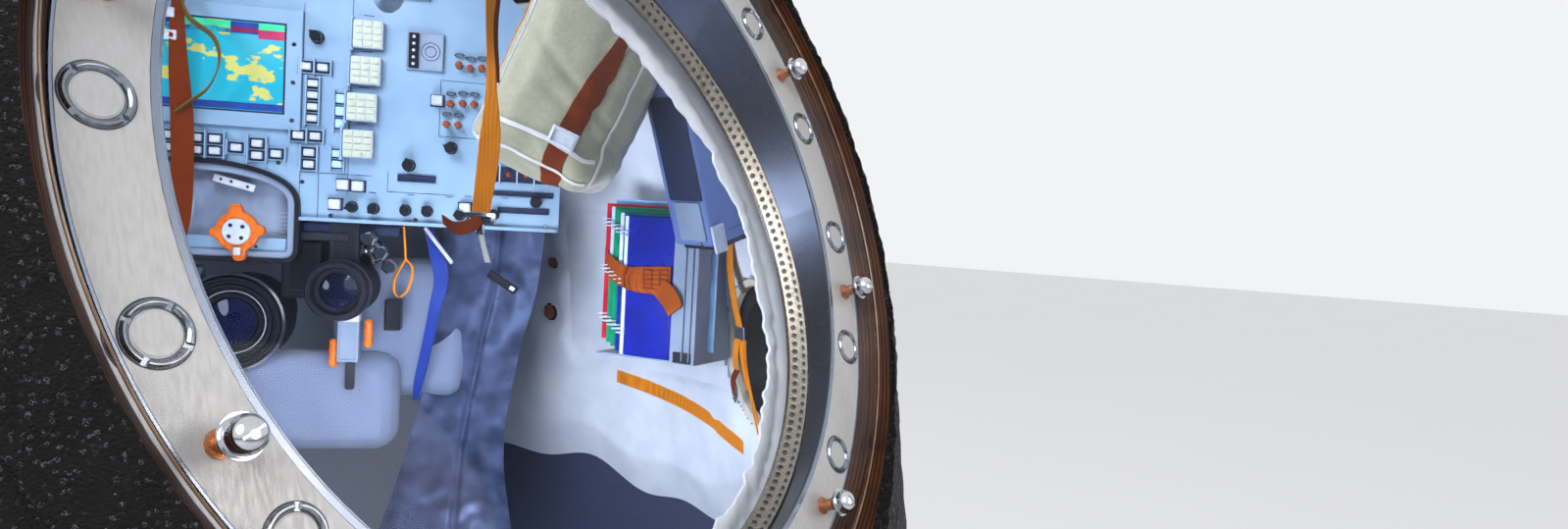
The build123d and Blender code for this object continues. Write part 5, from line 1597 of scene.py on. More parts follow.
    def dial(self) -> None:
        """Make the gauge: a black strip with pale dots beside a clear blister."""
        x, y = self.gauge
        base = self.dressed(dished(block((x, y, 4), (58, 62, 8), 1.4), 2.0, -1.2, 8), HOUSING)
        strip_bar = self.dressed(block((x - 17, y, 9.5), (15, 56, 5), 0.9), BLACK)
        dot = self.dressed(spun([(0, 11.6), (2.5, 11.6), (2.5, 12.6), (1.9, 13.1), (0, 13.1)], 14), CREAM)
        dots = repeated(dot, [moved(x - 17, y + 22 - 11 * n) for n in range(5)])
        deselect()
        bpy.ops.mesh.primitive_uv_sphere_add(segments=36, ring_count=18, radius=1.0)
        dome = bpy.context.active_object
        with edited(dome, whole=True):
            bpy.ops.mesh.bisect(plane_co=(0, 0, 0), plane_no=(0, 0, 1), clear_inner=True, use_fill=True)
            bpy.ops.mesh.select_all(action="SELECT")
            bpy.ops.transform.resize(value=tuple(mm(19, 27, 15)))
            bpy.ops.transform.translate(value=mm(x + 9, y, 6))
        arcs = [spun([(r, 6.5), (r + 0.9, 6.5), (r + 0.9, 7.3), (r, 7.3)], 32) for r in (8.0, 14.0)]
        rings = repeated(self.dressed(joined(arcs), CHROME), [moved(x + 9, y)])
        self.handed(
            "gauge_unit", [base, strip_bar, dots, self.dressed(dome, GAUGE), rings], CONSOLE, ("gauge",)
        )

    def screen(self) -> None:
        """Make the raised screen plate with its map, bars and corner screws."""
        x, y = -214.0, 92.0
        plate = block((x, y, 5), (252, 190, 10), 2.0)
        line = self.dressed(block((x, y, 9.4), (206, 144, 2.0), 0.9), NAVY)
        glass = self.dressed(block((x, y, 9.9), (200, 138, 1.8), 0.5), MAP_SCREEN)
        bars = []
        for left, right, low, high, finish in (
            (-100, -62, 58, 68, SEA_BAR),
            (-62, 22, 58, 68, GREEN_BAR),
            (22, 62, 50, 68, SEA_BAR),
            (22, 62, 52, 60, RED_BAR),
            (62, 100, 44, 58, RED_BAR),
            (62, 100, 58, 68, GREEN_BAR),
            (-100, 100, -68, -57, SEA_BAR),
            (-100, 22, 50, 57, SAND_BAR),
        ):
            middle = (x + (left + right) / 2, y + (low + high) / 2, 10.9)
            bars.append(self.dressed(block(middle, (right - left, high - low, 0.5), 0.1, 1), finish))
        self.handed("screen_plate", [self.dressed(plate, ENAMEL), line, glass, *bars], CONSOLE, ("display",))

    def trims(self) -> None:
        """Make the screws, the seams, the printed rules and the dark recessed strips."""
        screw = spun([(0, 0), (3.6, 0), (3.6, 0.6), (2.9, 1.5), (0, 1.5)], 20)
        cut(screw, block((0, 0, 1.7), (9, 0.9, 1.4), 0.0))
        self.dressed(screw, CHROME)
        spots = [
            (-100, 132), (-100, 72), (-100, 12), (-60, 228), (60, 228), (190, 228), (300, 130), (300, 20),
            (300, -60), (300, -136), (200, -136), (90, -136), (-40, -136), (-84, -84), (-120, -56), (230, 60),
            (-200, 212),
        ]
        screws = repeated(
            screw, [moved(sx, sy, 10 if sx == -100 else 0, 31 * n) for n, (sx, sy) in enumerate(spots)]
        )
        rules = []
        for x1, y1, x2, y2 in (
            (-88, 200, -88, -146), (-16, 228, -16, -100), (-16, 228, 60, 228), (122, 96, 122, 4),
            (122, 4, 196, 4), (122, 96, 196, 96), (-60, -70, -60, -146), (45, -60, 45, -92),
            (45, -92, 150, -92), (200, -30, 300, -30), (200, -30, 200, -100), (-88, -68, 20, -68),
        ):
            middle = ((x1 + x2) / 2, (y1 + y2) / 2, 0.25)
            rules.append(block(middle, (abs(x2 - x1) + 0.8, abs(y2 - y1) + 0.8, 0.5), 0.0))
        ticks = [block((-8 + 30 * n, -92 - 3 * (n % 2), 0.25), (11, 1.2, 0.5), 0.0) for n in range(9)]
        ticks += [block((8 - 2 * n, 190 - 58 * n, 0.25), (16, 1.2, 0.5), 0.0) for n in range(4)]
        lines = self.dressed(joined(rules + ticks), NAVY)
        pits = []
        for px, py, width, height in (
            (262, -52, 96, 26), (255, -84, 110, 9), (262, -112, 84, 10), (90, -68, 60, 12)
        ):
            pits.append(dished(block((px, py, 2), (width, height, 4), 1.0), 1.6, -2.5, 4))
        recesses = self.dressed(joined(pits), NAVY)
        guards = []
        for gx, gy in ((222, -52), (250, -52), (278, -52), (300, -52)):
            points = [
                mm(gx, gy - 17, 1), mm(gx, gy - 15, 16), mm(gx, gy, 22), mm(gx, gy + 15, 16),
                mm(gx, gy + 17, 1),
            ]
            guards.append(strap(points, Vector((1, 0, 0)), 2.0, 1.6, 0, 20))
        wires = self.dressed(joined(guards), CREAM)
        toggles = repeated(
            self.dressed(
                spun([(0, 0), (4.5, 0), (4.5, 3), (2.0, 5), (2.6, 13), (1.6, 15), (0, 15)], 16), RUSSET
            ),
            [moved(tx, -52) for tx in (236, 264, 289)],
        )
        ledge = self.dressed(block((116, -143, 3), (404, 6, 14), 1.2), ENAMEL)
        upper = self.dressed(block((-100, 232, 5), (400, 20, 10), 1.5), ENAMEL)
        self.handed("console_trims", [screws, lines, recesses, wires, toggles, ledge, upper], CONSOLE)

    def build(self) -> None:
        """Make every part of the console's face."""
        self.screen()
        self.key_frames()
        self.windows()
        self.controls()
        self.dial()
        self.trims()


@dataclass
class ArchedScreen(Assembly):
    """Arched viewing screen let into the console's foot, with the four-lobed valve knob before it."""

    middle: float = -240.0
    half: float = 148.0
    crown: float = -62.0
    shoulder: float = -125.0
    foot: float = -210.0

    def outline(self, grow: float) -> Outline:
        """Arched outline, grown by an amount.

        Args:
            grow: How far outside the opening it runs.

        Returns:
            Its points in X and Y.
        """
        half, rise = self.half + grow, self.crown + grow - self.shoulder
        points = []
        for step in range(41):
            turn = math.pi * step / 40
            points.append((self.middle + half * math.cos(turn), self.shoulder + rise * math.sin(turn) ** 0.8))
        corner = 16.0 + grow
        low = self.foot - grow
        for x_sign, start in ((-1, 180), (1, 270)):
            for step in range(7):
                turn = math.radians(start + 15 * step)
                points.append(
                    (
                        self.middle + x_sign * (half - corner) + corner * math.cos(turn),
                        low + corner + corner * math.sin(turn),
                    )
                )
        return points

    def shell(self, outer: float, inner: float, low: float, high: float, edge: float) -> bpy.types.Object:
        """Make an arched frame between two growths.

        Args:
            outer: Growth of its outside.
            inner: Growth of its inside.
            low: Height of its back.
            high: Height of its front.
            edge: Width of the rounding.

        Returns:
            The frame.
        """
        frame = slab(self.outline(outer), low, high)
        cut(frame, slab(self.outline(inner), low - 5, high + 5))
        return bevelled(frame, edge)

    def build(self) -> None:
        """Make the housing, its glass and marks, and the valve knob."""
        housing = self.dressed(self.shell(7, -1, -72, 9, 2.0), BLACK)
        bezel = self.dressed(self.shell(0, -12, -18, 3, 2.5), HOUSING)
        back = self.dressed(slab(self.outline(6), -76, -72, 1.0), BLACK)
        # The screen's glass carries painted reflection: grey-blue with large lighter and darker patches
        glass = self.dressed(slab(self.outline(-6), -30, -27, 0.5), SCREEN_GLASS)
        plate = self.dressed(block((-240, -190, -8), (268, 26, 8), 1.5), ENAMEL)
        strip_mark = self.dressed(block((0, 0, 0), (62, 12, 3), 1.0), CREAM)
        marks = repeated(strip_mark, [moved(-186, -92, -10, -14)])
        dots = repeated(
            self.dressed(spun([(0, 0), (2.2, 0), (2.2, 1.2), (0, 1.2)], 12), BLACK),
            [
                moved(-205, -87, -8.6), moved(-190, -90, -8.6), moved(-166, -97, -8.6), moved(-330, -190, -4),
                moved(-150, -192, -4),
            ],
        )
        ticks = repeated(
            self.dressed(block((0, 0, 0), (16, 1.0, 0.8), 0.0), CREAM),
            [moved(-112, -136 - 6.5 * n, -25.5, 6) for n in range(9)],
        )
        self.handed(
            "arched_screen",
            [housing, bezel, back, glass, plate, marks, dots, ticks],
            CONSOLE,
            ("screen_housing",),
        )
        self.valve()

    def valve(self) -> None:
        """Make the valve knob: a lobed orange ring, a pale cap with four screws and a white tab."""
        outline = []
        for step in range(120):
            turn = 2 * math.pi * step / 120
            lobe = 0.0
            for n, (reach, width) in enumerate(((12, 0.27), (8, 0.24), (15, 0.27), (8, 0.24))):
                gap = math.remainder(turn - math.radians(95) - n * math.pi / 2, 2 * math.pi)
                lobe = max(lobe, reach * math.exp(-((gap / width) ** 4)))
            outline.append(((31.5 + lobe) * math.cos(turn), (31.5 + lobe) * math.sin(turn)))
        body = slab(outline, 6, 24, 2.6)
        body = self.dressed(dished(body, 2.2, -1.6, 24), ORANGE)
        post = self.dressed(spun([(0, -72), (8, -72), (8, 7), (0, 7)], 24), DARK_METAL)
        cap = self.dressed(spun([(0, 21), (20.5, 21), (20.5, 26.5), (19.2, 28), (0, 28.4)], 48), CREAM)
        screw = self.dressed(spun([(0, 28), (3.0, 28), (3.0, 29.1), (2.4, 29.7), (0, 29.7)], 16), DARK_METAL)
        screws = repeated(screw, [turned(40 + 90 * n, 12.5) for n in range(4)])
        tab = self.dressed(block((2, -31, 26), (11, 13, 7), 2.4, 3), CREAM)
        knob = repeated(joined([body, post, cap, screws, tab]), [moved(-172, -168, 0)])
        self.handed("valve", [knob], CONSOLE, ("valve_knob",))


@dataclass
class CargoBag(Assembly):
    """Fleece bag tied to the wall by a brown strap, under a hanging orange strap."""

    size: Triple = (206.0, 326.0, 184.0)
    edge: float = 30.0
    band_x: float = 45.0

    def creases(self, point: Vector) -> float:
        """Depth of the folds that run out from the strap.

        Args:
            point: Point of the bag in its own frame, in metres.

        Returns:
            How far the cloth sinks there, in metres.
        """
        x, y = point.x / MM, point.y / MM
        pull = math.exp(-(((x - self.band_x) / 15.0) ** 2)) * 6.0
        folds = 0.0
        for middle, slope, width, depth, reach in (
            (-30.0, -0.55, 8.0, 5.0, 110.0), (-60.0, -0.40, 10.0, 4.0, 90.0), (-10.0, 0.35, 11.0, 3.5, 80.0),
            (60.0, 0.30, 14.0, 3.0, 90.0), (-90.0, 0.15, 12.0, 3.5, 120.0), (110.0, -0.2, 16.0, 2.5, 100.0),
        ):
            away = abs(x - self.band_x)
            line = y - middle - slope * (x - self.band_x)
            deep = depth * math.exp(-((line / width) ** 2)) * math.exp(-((away / reach) ** 2))
            folds += deep * min(1.0, away / 14.0)
        return (pull + folds) * MM

    def swollen(self, piece: bpy.types.Object) -> None:
        """Blow the bag up with a short cloth simulation, and cap how far it moves.

        Args:
            piece: The bag's closed mesh, remeshed evenly.
        """
        before = [vertex.co.copy() for vertex in piece.data.vertices]
        choose(piece)
        cloth = piece.modifiers.new("cloth", "CLOTH")
        cloth.settings.use_pressure = True
        cloth.settings.uniform_pressure_force = 4.0
        cloth.settings.effector_weights.gravity = 0.0
        cloth.settings.quality = 4
        cloth.point_cache.frame_end = 20
        for frame_number in range(1, 21):
            bpy.context.scene.frame_set(frame_number)
        bpy.ops.object.modifier_apply(modifier=cloth.name)
        bpy.context.scene.frame_set(1)
        for vertex, start in zip(piece.data.vertices, before):
            way = vertex.co - start
            if way.length > 0.009:
                vertex.co = start + way * (0.009 / way.length)

    def bag(self) -> bpy.types.Object:
        """Make the stuffed bag itself.

        Returns:
            The bag in its own frame.
        """
        width, height, depth = (side - 10.0 for side in self.size)
        piece = block((0, 0, 0), (width, height, depth), self.edge, 5)
        worked(piece, "REMESH", mode="VOXEL", voxel_size=0.0055)
        self.swollen(piece)
        with edited(piece, whole=True):
            bpy.ops.mesh.vertices_smooth(factor=0.5, repeat=3)
        for vertex in piece.data.vertices:
            point = vertex.co
            way = Vector((point.x * 0.4, point.y * 0.2, point.z)).normalized()
            rumple = 0.0022 * wobble(*point, 0.05, 2.0) + 0.0012 * wobble(*point, 0.022, 5.0)
            vertex.co = point - way * (self.creases(point) - rumple)
        return worked(piece, "SUBSURF", levels=1, render_levels=1)

    def seams(self, bag: bpy.types.Object) -> list[bpy.types.Object]:
        """Make the piping, the flap's hem and the ties at the bag's lower edge.

        Args:
            bag: The bag that they are sewn to.

        Returns:
            The sewn trims.
        """
        width, height, depth = (side / 2 for side in self.size)
        parts = []
        front = depth - 1.0
        for inset, low in ((8.0, -height + 12.0), (6.0, -height + 58.0)):
            line = [
                mm(-width + inset, low + 6, front - 9), mm(-width + 30, low, front), mm(0, low + 3, front + 1)
            ]
            line += [
                mm(42, low + 1, front - 4), mm(width - 30, low - 3, front),
                mm(width - inset, low + 4, front - 9),
            ]
            parts.append(strap(line, Vector((0, 1, 0)), 7.0, 2.6, 0.3, 90, bag))
        for side in (-1, 1):
            line = [mm(side * (width - 4), y, depth - 22) for y in (-height + 16, -60, 30, height - 20)]
            parts.append(strap(line, Vector((0, 0, 1)), 5.0, 2.4, 0.3, 60, bag))
        return parts

    def build(self) -> None:
        """Make the bag, its band and the hanging strap."""
        bag = self.dressed(self.bag(), FLEECE)
        piping = self.dressed(joined(self.seams(bag)), PIPING)
        width, height, depth = (side / 2 for side in self.size)
        loop = [
            mm(self.band_x + 12, height - 26, depth - 6),
            mm(self.band_x + 10, 70, depth - 2),
            mm(self.band_x + 2, 0, depth - 1),
            mm(self.band_x - 6, -80, depth - 2),
            mm(self.band_x - 12, -height + 34, depth + 1),
            mm(self.band_x - 12, -height + 2, depth - 18),
            mm(self.band_x - 12, -height - 1, depth - 60),
        ]
        widths = [22.0, 20.0, 33.0, 34.0, 28.0, 26.0, 26.0]
        band = self.dressed(strap(loop, Vector((1, 0, 0)), widths, 2.0, 0.4, 120, bag), BROWN_WEBBING)
        slide = dished(block((self.band_x - 9, -92, depth + 4), (40, 27, 6), 1.2), 4.0, -2.0, depth + 7)
        slide = self.dressed(slide, CREAM)
        tie = [
            mm(-width + 2, height - 30, 40), mm(-width - 3, 60, 30), mm(-width - 2, -20, 24),
            mm(-width + 2, -90, 12),
        ]
        side_tie = self.dressed(
            strap(tie, Vector((0, 0, 1)), [9.0, 7.0, 12.0, 14.0], 1.6, 0.3, 60, bag), WEBBING
        )
        made = self.handed("fleece_bag", [bag], BAG, ("cargo_bag",))
        self.handed("bag_piping", [piping], BAG)
        self.handed("bag_straps", [band, slide, side_tie], BAG, ("bag_band",))
        self.hanging()

    def hanging(self) -> None:
        """Make the hanging orange strap: two plies that narrow and widen, a clip, a tail and a white tape."""
        top = Vector((0.180, -0.417, 1.760))
        side = Vector((0.539, -0.842, 0.0))
        down = Vector((0, 0, -1))
        heights = (0.0, 0.10, 0.20, 0.29, 0.36, 0.43, 0.515)
        shifts = (0.0, 0.001, -0.001, -0.003, 0.002, 0.003, -0.004)
        widths = [24.0, 25.0, 24.0, 9.0, 13.0, 25.0, 22.0]
        points = [top + down * h + side * s for h, s in zip(heights, shifts)]
        across = [side, side, side, side + Vector((0.3, 0.3, 0)), side - Vector((0.1, 0.3, 0)), side, side]
        front = self.dressed(strap(points, across, widths, 2.0, 0.5, 110), WEBBING)
        behind = [p + Vector((0.006, 0.002, 0)) + side * 0.003 for p in points[:5]]
        second = self.dressed(strap(behind, across[:5], [20, 20, 18, 8, 8], 1.6, 0.4, 80), BROWN_WEBBING)
        end = points[-1]
        clip_at = frame_at(end + down * 0.008, side, side.cross(Vector((0, 0, 1))))
        clip = dished(block((0, 0, 0), (36, 15, 7), 2.0), 4.0, -2.0, 3.5)
        bar = block((0, -12, 0), (10, 14, 5), 1.5)
        buckle = self.dressed(joined([clip, bar]), CHROME)
        buckle.data.transform(clip_at)
        tail_line = [
            end + down * 0.004, end + Vector((-0.012, -0.004, -0.014)), end + Vector((-0.030, 0.006, -0.020))
        ]
        tail_line.append(end + Vector((-0.046, 0.012, -0.010)))
        tail = self.dressed(
            strap(tail_line, Vector((0.3, 0.6, 0.8)), [21, 20, 19, 14], 1.6, 0.2, 40), BROWN_WEBBING
        )
        tape_line = [
            end + down * 0.018, end + Vector((0.004, 0, -0.035)), end + Vector((0.010, -0.004, -0.060))
        ]
        tape = self.dressed(strap(tape_line, side, [8, 6, 7], 1.4, 0.2, 30), PIPING)
        self.handed(
            "hanging_webbing", [front, second, buckle, tail, tape], None, ("hanging_strap", "strap_buckle")
        )


@dataclass
class BookShelf(Assembly):
    """Five ring-bound books in their wall holder, held by a gathered orange band."""

    width: float = 153.0
    height: float = 240.0
    thick: float = 6.6
    step: float = 15.0
    rise: float = 5.0

    def book(self, index: int, cover: Finish, upper: Finish, lower: Finish) -> bpy.types.Object:
        """Make one book: two covers, its pages and a pale spine strip.

        Args:
            index: Its place in the stack, 0 at the front.
            cover: Finish of its covers.
            upper: Finish of the upper half of its edge strip.
            lower: Finish of the lower half of its edge strip.

        Returns:
            The book in the shelf's frame.
        """
        x, y, z = -index * self.step, index * self.rise, -index * (self.thick + 0.3)
        outline_width = self.width - 2
        front = self.dressed(block((x + 1, y, z - 0.8), (outline_width, self.height, 1.5), 0.6), cover)
        back = self.dressed(
            block((x + 1, y, z - self.thick + 0.8), (outline_width, self.height, 1.5), 0.6), cover
        )
        paper = (outline_width - 8, self.height - 7, self.thick - 3.2)
        pages = self.dressed(block((x + 3, y, z - self.thick / 2), paper, 0.4), PAPER)
        edge = -self.width / 2 + x
        parts = [front, back, pages]
        for low, high, finish in ((0, self.height / 2, upper), (-self.height / 2, 0, lower)):
            middle = (edge + 6.5, y + (low + high) / 2, z + 0.25)
            parts.append(self.dressed(block(middle, (7.0, high - low - 1, 0.9), 0.3, 1), finish))
        return joined(parts)

    def rings(self) -> bpy.types.Object:
        """Make the wire rings that bind the books.

        Returns:
            The rings in the shelf's frame.
        """
        # The clear rings take the pale spine tape's finish: painted highlight, as they show white where they
        # catch the light
        ring = self.dressed(hoop(8.5, 1.1, 26, 8, tilt=math.pi / 2), SPINE)
        places = []
        for index in range(5):
            for y in (86, 4, -82):
                x, z = -self.width / 2 - index * self.step, -index * (self.thick + 0.3)
                places.append(moved(x + 3, y + self.rise * index, z - 1))
                places.append(moved(x + 3, y + 7 + self.rise * index, z - 1))
        return repeated(ring, places)

    def band(self) -> None:
        """Make the gathered, stitched band and its folded tail."""
        back = -self.width / 2 - 4 * self.step
        line = [
            mm(back - 4, 46, -120), mm(back - 4, 44, -60), mm(back - 1, 38, -36),
            mm(-self.width / 2 - 4, 20, 2), mm(-self.width / 2 + 22, 13, 4.5),
            mm(-self.width / 2 + 60, 13, 3.5), mm(self.width / 2 - 50, 16, 3.2),
        ]

        def place(u: float, v: float) -> Vector:
            """Point of the band, with folds where it is gathered."""
            middle = smooth_line(line, u)
            way = smooth_line(line, min(u + 0.01, 1.0)) - smooth_line(line, max(u - 0.01, 0.0))
            normal = way.cross(Vector((0, 1, 0))).normalized() * -1.0
            if normal.z < -0.3:
                normal = -normal
            gather = math.exp(-(((u - 0.62) / 0.13) ** 2))
            wave = gather * 3.2 * math.sin(88 * u + 2.4 * math.sin(4 * v))
            wave += 0.6 * math.sin(26 * v + 30 * u) * (1 - gather)
            tall = 21.5 + 1.6 * math.sin(9 * u) - 1.5 * gather
            return middle + Vector((0, 1, 0)) * ((v - 0.5) * 2 * tall * MM) + normal * ((wave + 1.5) * MM)

        sheet = shaped_grid(170, 18, place, (0.26, 0.055))
        worked(sheet, "SOLIDIFY", thickness=0.0016, offset=0.0)
        parts = [self.dressed(sheet, BAND_WEBBING)]
        end = self.width / 2 - 50
        fold = [mm(end - 22, 4, 6), mm(end - 6, -6, 9), mm(end + 8, -20, 10), mm(end + 16, -34, 9)]
        parts.append(
            self.dressed(strap(fold, Vector((0.75, 0.55, 0.1)), [40, 40, 38, 36], 2.2, 0.8, 40), BAND_WEBBING)
        )
        for y in (-1, 6, 14, 22, 30):
            stitch = [
                mm(-self.width / 2 + 46, y, 6.4), mm(-self.width / 2 + 70, y + 0.6, 6.5),
                mm(end - 2, y + 3, 6.2),
            ]
            parts.append(self.dressed(strap(stitch, Vector((0, 1, 0)), 1.4, 0.7, 0.5, 40), BROWN_WEBBING))
        for x in (-26, -10, 6, 22):
            seam = [mm(x, -2, 6.6), mm(x + 0.5, 14, 6.8), mm(x, 33, 6.6)]
            parts.append(self.dressed(strap(seam, Vector((1, 0, 0)), 1.3, 0.7, 0.3, 24), BROWN_WEBBING))
        self.handed("book_webbing", parts, SHELF, ("book_band",))

    def build(self) -> None:
        """Make the books, their rings, the holder and the band."""
        finishes = (
            (BLUE_COVER, SPINE, SPINE),
            (TEAL_COVER, SPINE, BLUE_COVER),
            (GREEN_COVER, GREEN_COVER, GREEN_COVER),
            (GREEN_COVER, PALE_KEY, GREEN_COVER),
            (RED_COVER, RED_COVER, RED_COVER),
        )
        books = [self.book(index, *set_of_three) for index, set_of_three in enumerate(finishes)]
        board = self.dressed(block((-16, 22, -40), (self.width + 62, self.height + 12, 3), 1.0), SKY_COVER)
        patch = self.dressed(block((58, -106, 0.4), (16, 12, 0.8), 0.2, 1), PALE_KEY)
        sleeve_edge = self.dressed(block((18, -8, 0.2), (2.0, 120, 0.6), 0.2, 1), BLUE_COVER)
        self.handed("ring_books", [*books, self.rings(), board, patch, sleeve_edge], SHELF, ("books",))
        self.band()
        channel = []
        for x, wide in ((self.width / 2 - 20, 2.0), (self.width / 2 - 6, 2.0)):
            channel.append(block((x, 0, 5.4), (wide, 236, 3.0), 0.6))
        foot = self.dressed(block((self.width / 2 - 20, -112, 5.0), (34, 18, 3.4), 1.0), DARK_METAL)
        self.handed("holder_beads", [self.dressed(joined(channel), HOUSING), foot], SHELF)


@dataclass
class EquipmentBox(Assembly):
    """Painted equipment box on the wall, with its lid seam, label plate and feet."""

    size: Triple = (150.0, 260.0, 100.0)

    def build(self) -> None:
        """Make the box."""
        width, height, depth = self.size
        case = block((0, 0, -2), (width, height, depth - 6), 7.0, 3)
        case = dished(case, 12.0, -1.6, depth / 2 - 5)
        self.dressed(case, BOX_PAINT)
        # The plate on the box's left side is painted dark: painted shade on the side away from the light
        lid = self.dressed(block((-width / 2 - 1.5, 26, 4), (4, height * 0.62, depth - 26), 1.4), BOX_SIDE_SHADE)
        shelf = self.dressed(block((-width / 2 - 1.5, -88, 4), (4, 62, depth - 40), 1.4), HOUSING)
        groove = self.dressed(block((0, 0, 18), (width + 1.2, height + 1.2, 2.0), 0.8), DARK_METAL)
        slot = self.dressed(block((-28, 62, depth / 2 - 4.4), (2.4, 70, 2.0), 0.6), DARK_METAL)
        slot_two = self.dressed(block((20, -40, depth / 2 - 4.4), (60, 2.4, 2.0), 0.6), DARK_METAL)
        tab = self.dressed(
            dished(block((-62, -118, depth / 2 - 3), (24, 44, 6), 1.6), 3.0, -1.2, depth / 2), CREAM
        )
        foot = self.dressed(
            dished(block((0, -height / 2 - 1, 4), (width - 14, 10, depth - 22), 2.0), 6.0, -2.0, 44), BLACK
        )
        screw = self.dressed(spun([(0, 0), (4.2, 0), (4.2, 1.2), (3.2, 2.2), (0, 2.2)], 18), CHROME)
        spots = [(sx * 66, sy * 120) for sx in (-1, 1) for sy in (-1, 1)]
        screws = repeated(screw, [moved(x, y, depth / 2 - 5.2) for x, y in spots])
        self.handed(
            "wall_box", [case, lid, shelf, groove, slot, slot_two, tab, foot, screws], BOX, ("equipment_box",)
        )


@dataclass
class CabinStraps(Assembly):
    """Loose straps of the cabin: over the console, on the wall and across the porthole."""

    def build(self) -> None:
        """Make every strap of the cabin's walls."""
        side = [
            mm(-258, 244, 20), mm(-262, 170, 26), mm(-258, 90, 30), mm(-252, 10, 28), mm(-250, -70, 26),
            mm(-252, -150, 22), mm(-262, -211, 21),
        ]
        widths = [15.0, 18.0, 26.0, 31.0, 31.0, 28.0, 20.0]
        brown = self.dressed(strap(side, Vector((1, 0, -0.25)), widths, 2.2, 0.5, 90), BROWN_WEBBING)
        loop = [
            mm(-262, 206, 30), mm(-244, 158, 38), mm(-206, 128, 46), mm(-196, 92, 48), mm(-212, 52, 42),
            mm(-240, 28, 36), mm(-262, 10, 32),
        ]
        khaki = self.dressed(strap(loop, Vector((0.5, 0.5, 1)), 13.0, 2.4, 0.2, 70), KHAKI)
        slides = [
            self.dressed(
                dished(block((-282 + 4 * n, 196 - 34 * n, 30), (26, 15, 5), 1.4), 3.4, -1.6, 32.5), CREAM
            )
            for n in range(3)
        ]
        self.handed("side_webbing", [brown, khaki, *slides], CONSOLE, ("side_strap",))
        stem = [mm(72, -148, -6), mm(74, -172, -7), mm(76, -196, -8), mm(77, -206, -8)]
        pull = [strap(stem, Vector((0.3, 0, 1)), [7, 6, 6, 7], 2.6, 0.2, 30)]
        for side_sign in (-1, 1):
            points = [
                mm(77, -202, -7), mm(78 + side_sign * 9, -216, -8), mm(73 + side_sign * 13, -236, -8),
                mm(70 + side_sign * 10, -256, -8), mm(68 + side_sign * 2, -266, -8),
            ]
            pull.append(strap(points, Vector((0.5, 0, 1)), [7, 8, 9, 8, 7], 1.8, 0.2, 40))
        self.handed("pull_tape", [self.dressed(joined(pull), WEBBING)], CONSOLE, ("pull_loop",))
        self.wall_tape()
        self.port_straps()

    def on_wall(self, azimuth: float, height: float, lift: float) -> Vector:
        """Point just inside the lining.

        Args:
            azimuth: Azimuth in degrees.
            height: Height in metres.
            lift: How far inside the lining, in metres.

        Returns:
            The point.
        """
        return hull_point(azimuth, height, 0.0845 + lift)[0]

    def wall_tape(self) -> None:
        """Make the orange tape along the padding below the books."""
        spots = [(-2.0, 0.928), (-8.0, 0.918), (-14.5, 0.905), (-20.5, 0.888), (-22.5, 0.878), (-27.5, 0.862)]
        points = [self.on_wall(azimuth, height, 0.0195) for azimuth, height in spots]
        piece = strap(points, Vector((0, 0, 1)), [24, 25, 25, 24, 25, 23], 1.6, 0.3, 80)
        self.handed("wall_tape", [self.dressed(piece, WEBBING)])

    def port_straps(self) -> None:
        """Make the harness across the right porthole: two webs, a ladder buckle, a hook and two tapes."""
        place = wall_frame(*PORTS["right"], 0.084)
        parts = []
        for x1, y1, x2, y2, width, finish in (
            (60, 190, 30, 40, 26, WEBBING), (30, 40, 58, -30, 20, WEBBING),
            (58, -30, 70, -80, 18, BROWN_WEBBING), (28, 34, -46, -150, 6, WEBBING),
            (20, 30, -20, -128, 6, WEBBING), (26, 34, 10, -60, 16, WEBBING),
        ):
            line = [mm(x1, y1, -20), mm((x1 * 2 + x2) / 3 + 3, (y1 * 2 + y2) / 3, -26)]
            line += [mm((x1 + x2 * 2) / 3 - 2, (y1 + y2 * 2) / 3, -28), mm(x2, y2, -24)]
            parts.append(self.dressed(strap(line, Vector((1, 0.2, 0)), width, 1.8, 0.3, 50), finish))
        buckle = self.dressed(dished(block((30, 36, -24), (38, 22, 7), 2.0), 5.0, -2.0, -20.5), CHROME)
        hook = resized(hoop(11, 2.2, 28, 10, (64, -70, -26)), (0.7, 1.5, 1.0), mm(64, -70, -26))
        self.dressed(hook, CHROME)
        ring = self.dressed(spun([(116, -6), (127, -10), (131, -4), (131, 4), (116, 6)], 96), CREAM_RING)
        self.handed("port_harness", [*parts, buckle, hook], place)
        self.handed("port_trim", [ring], place)


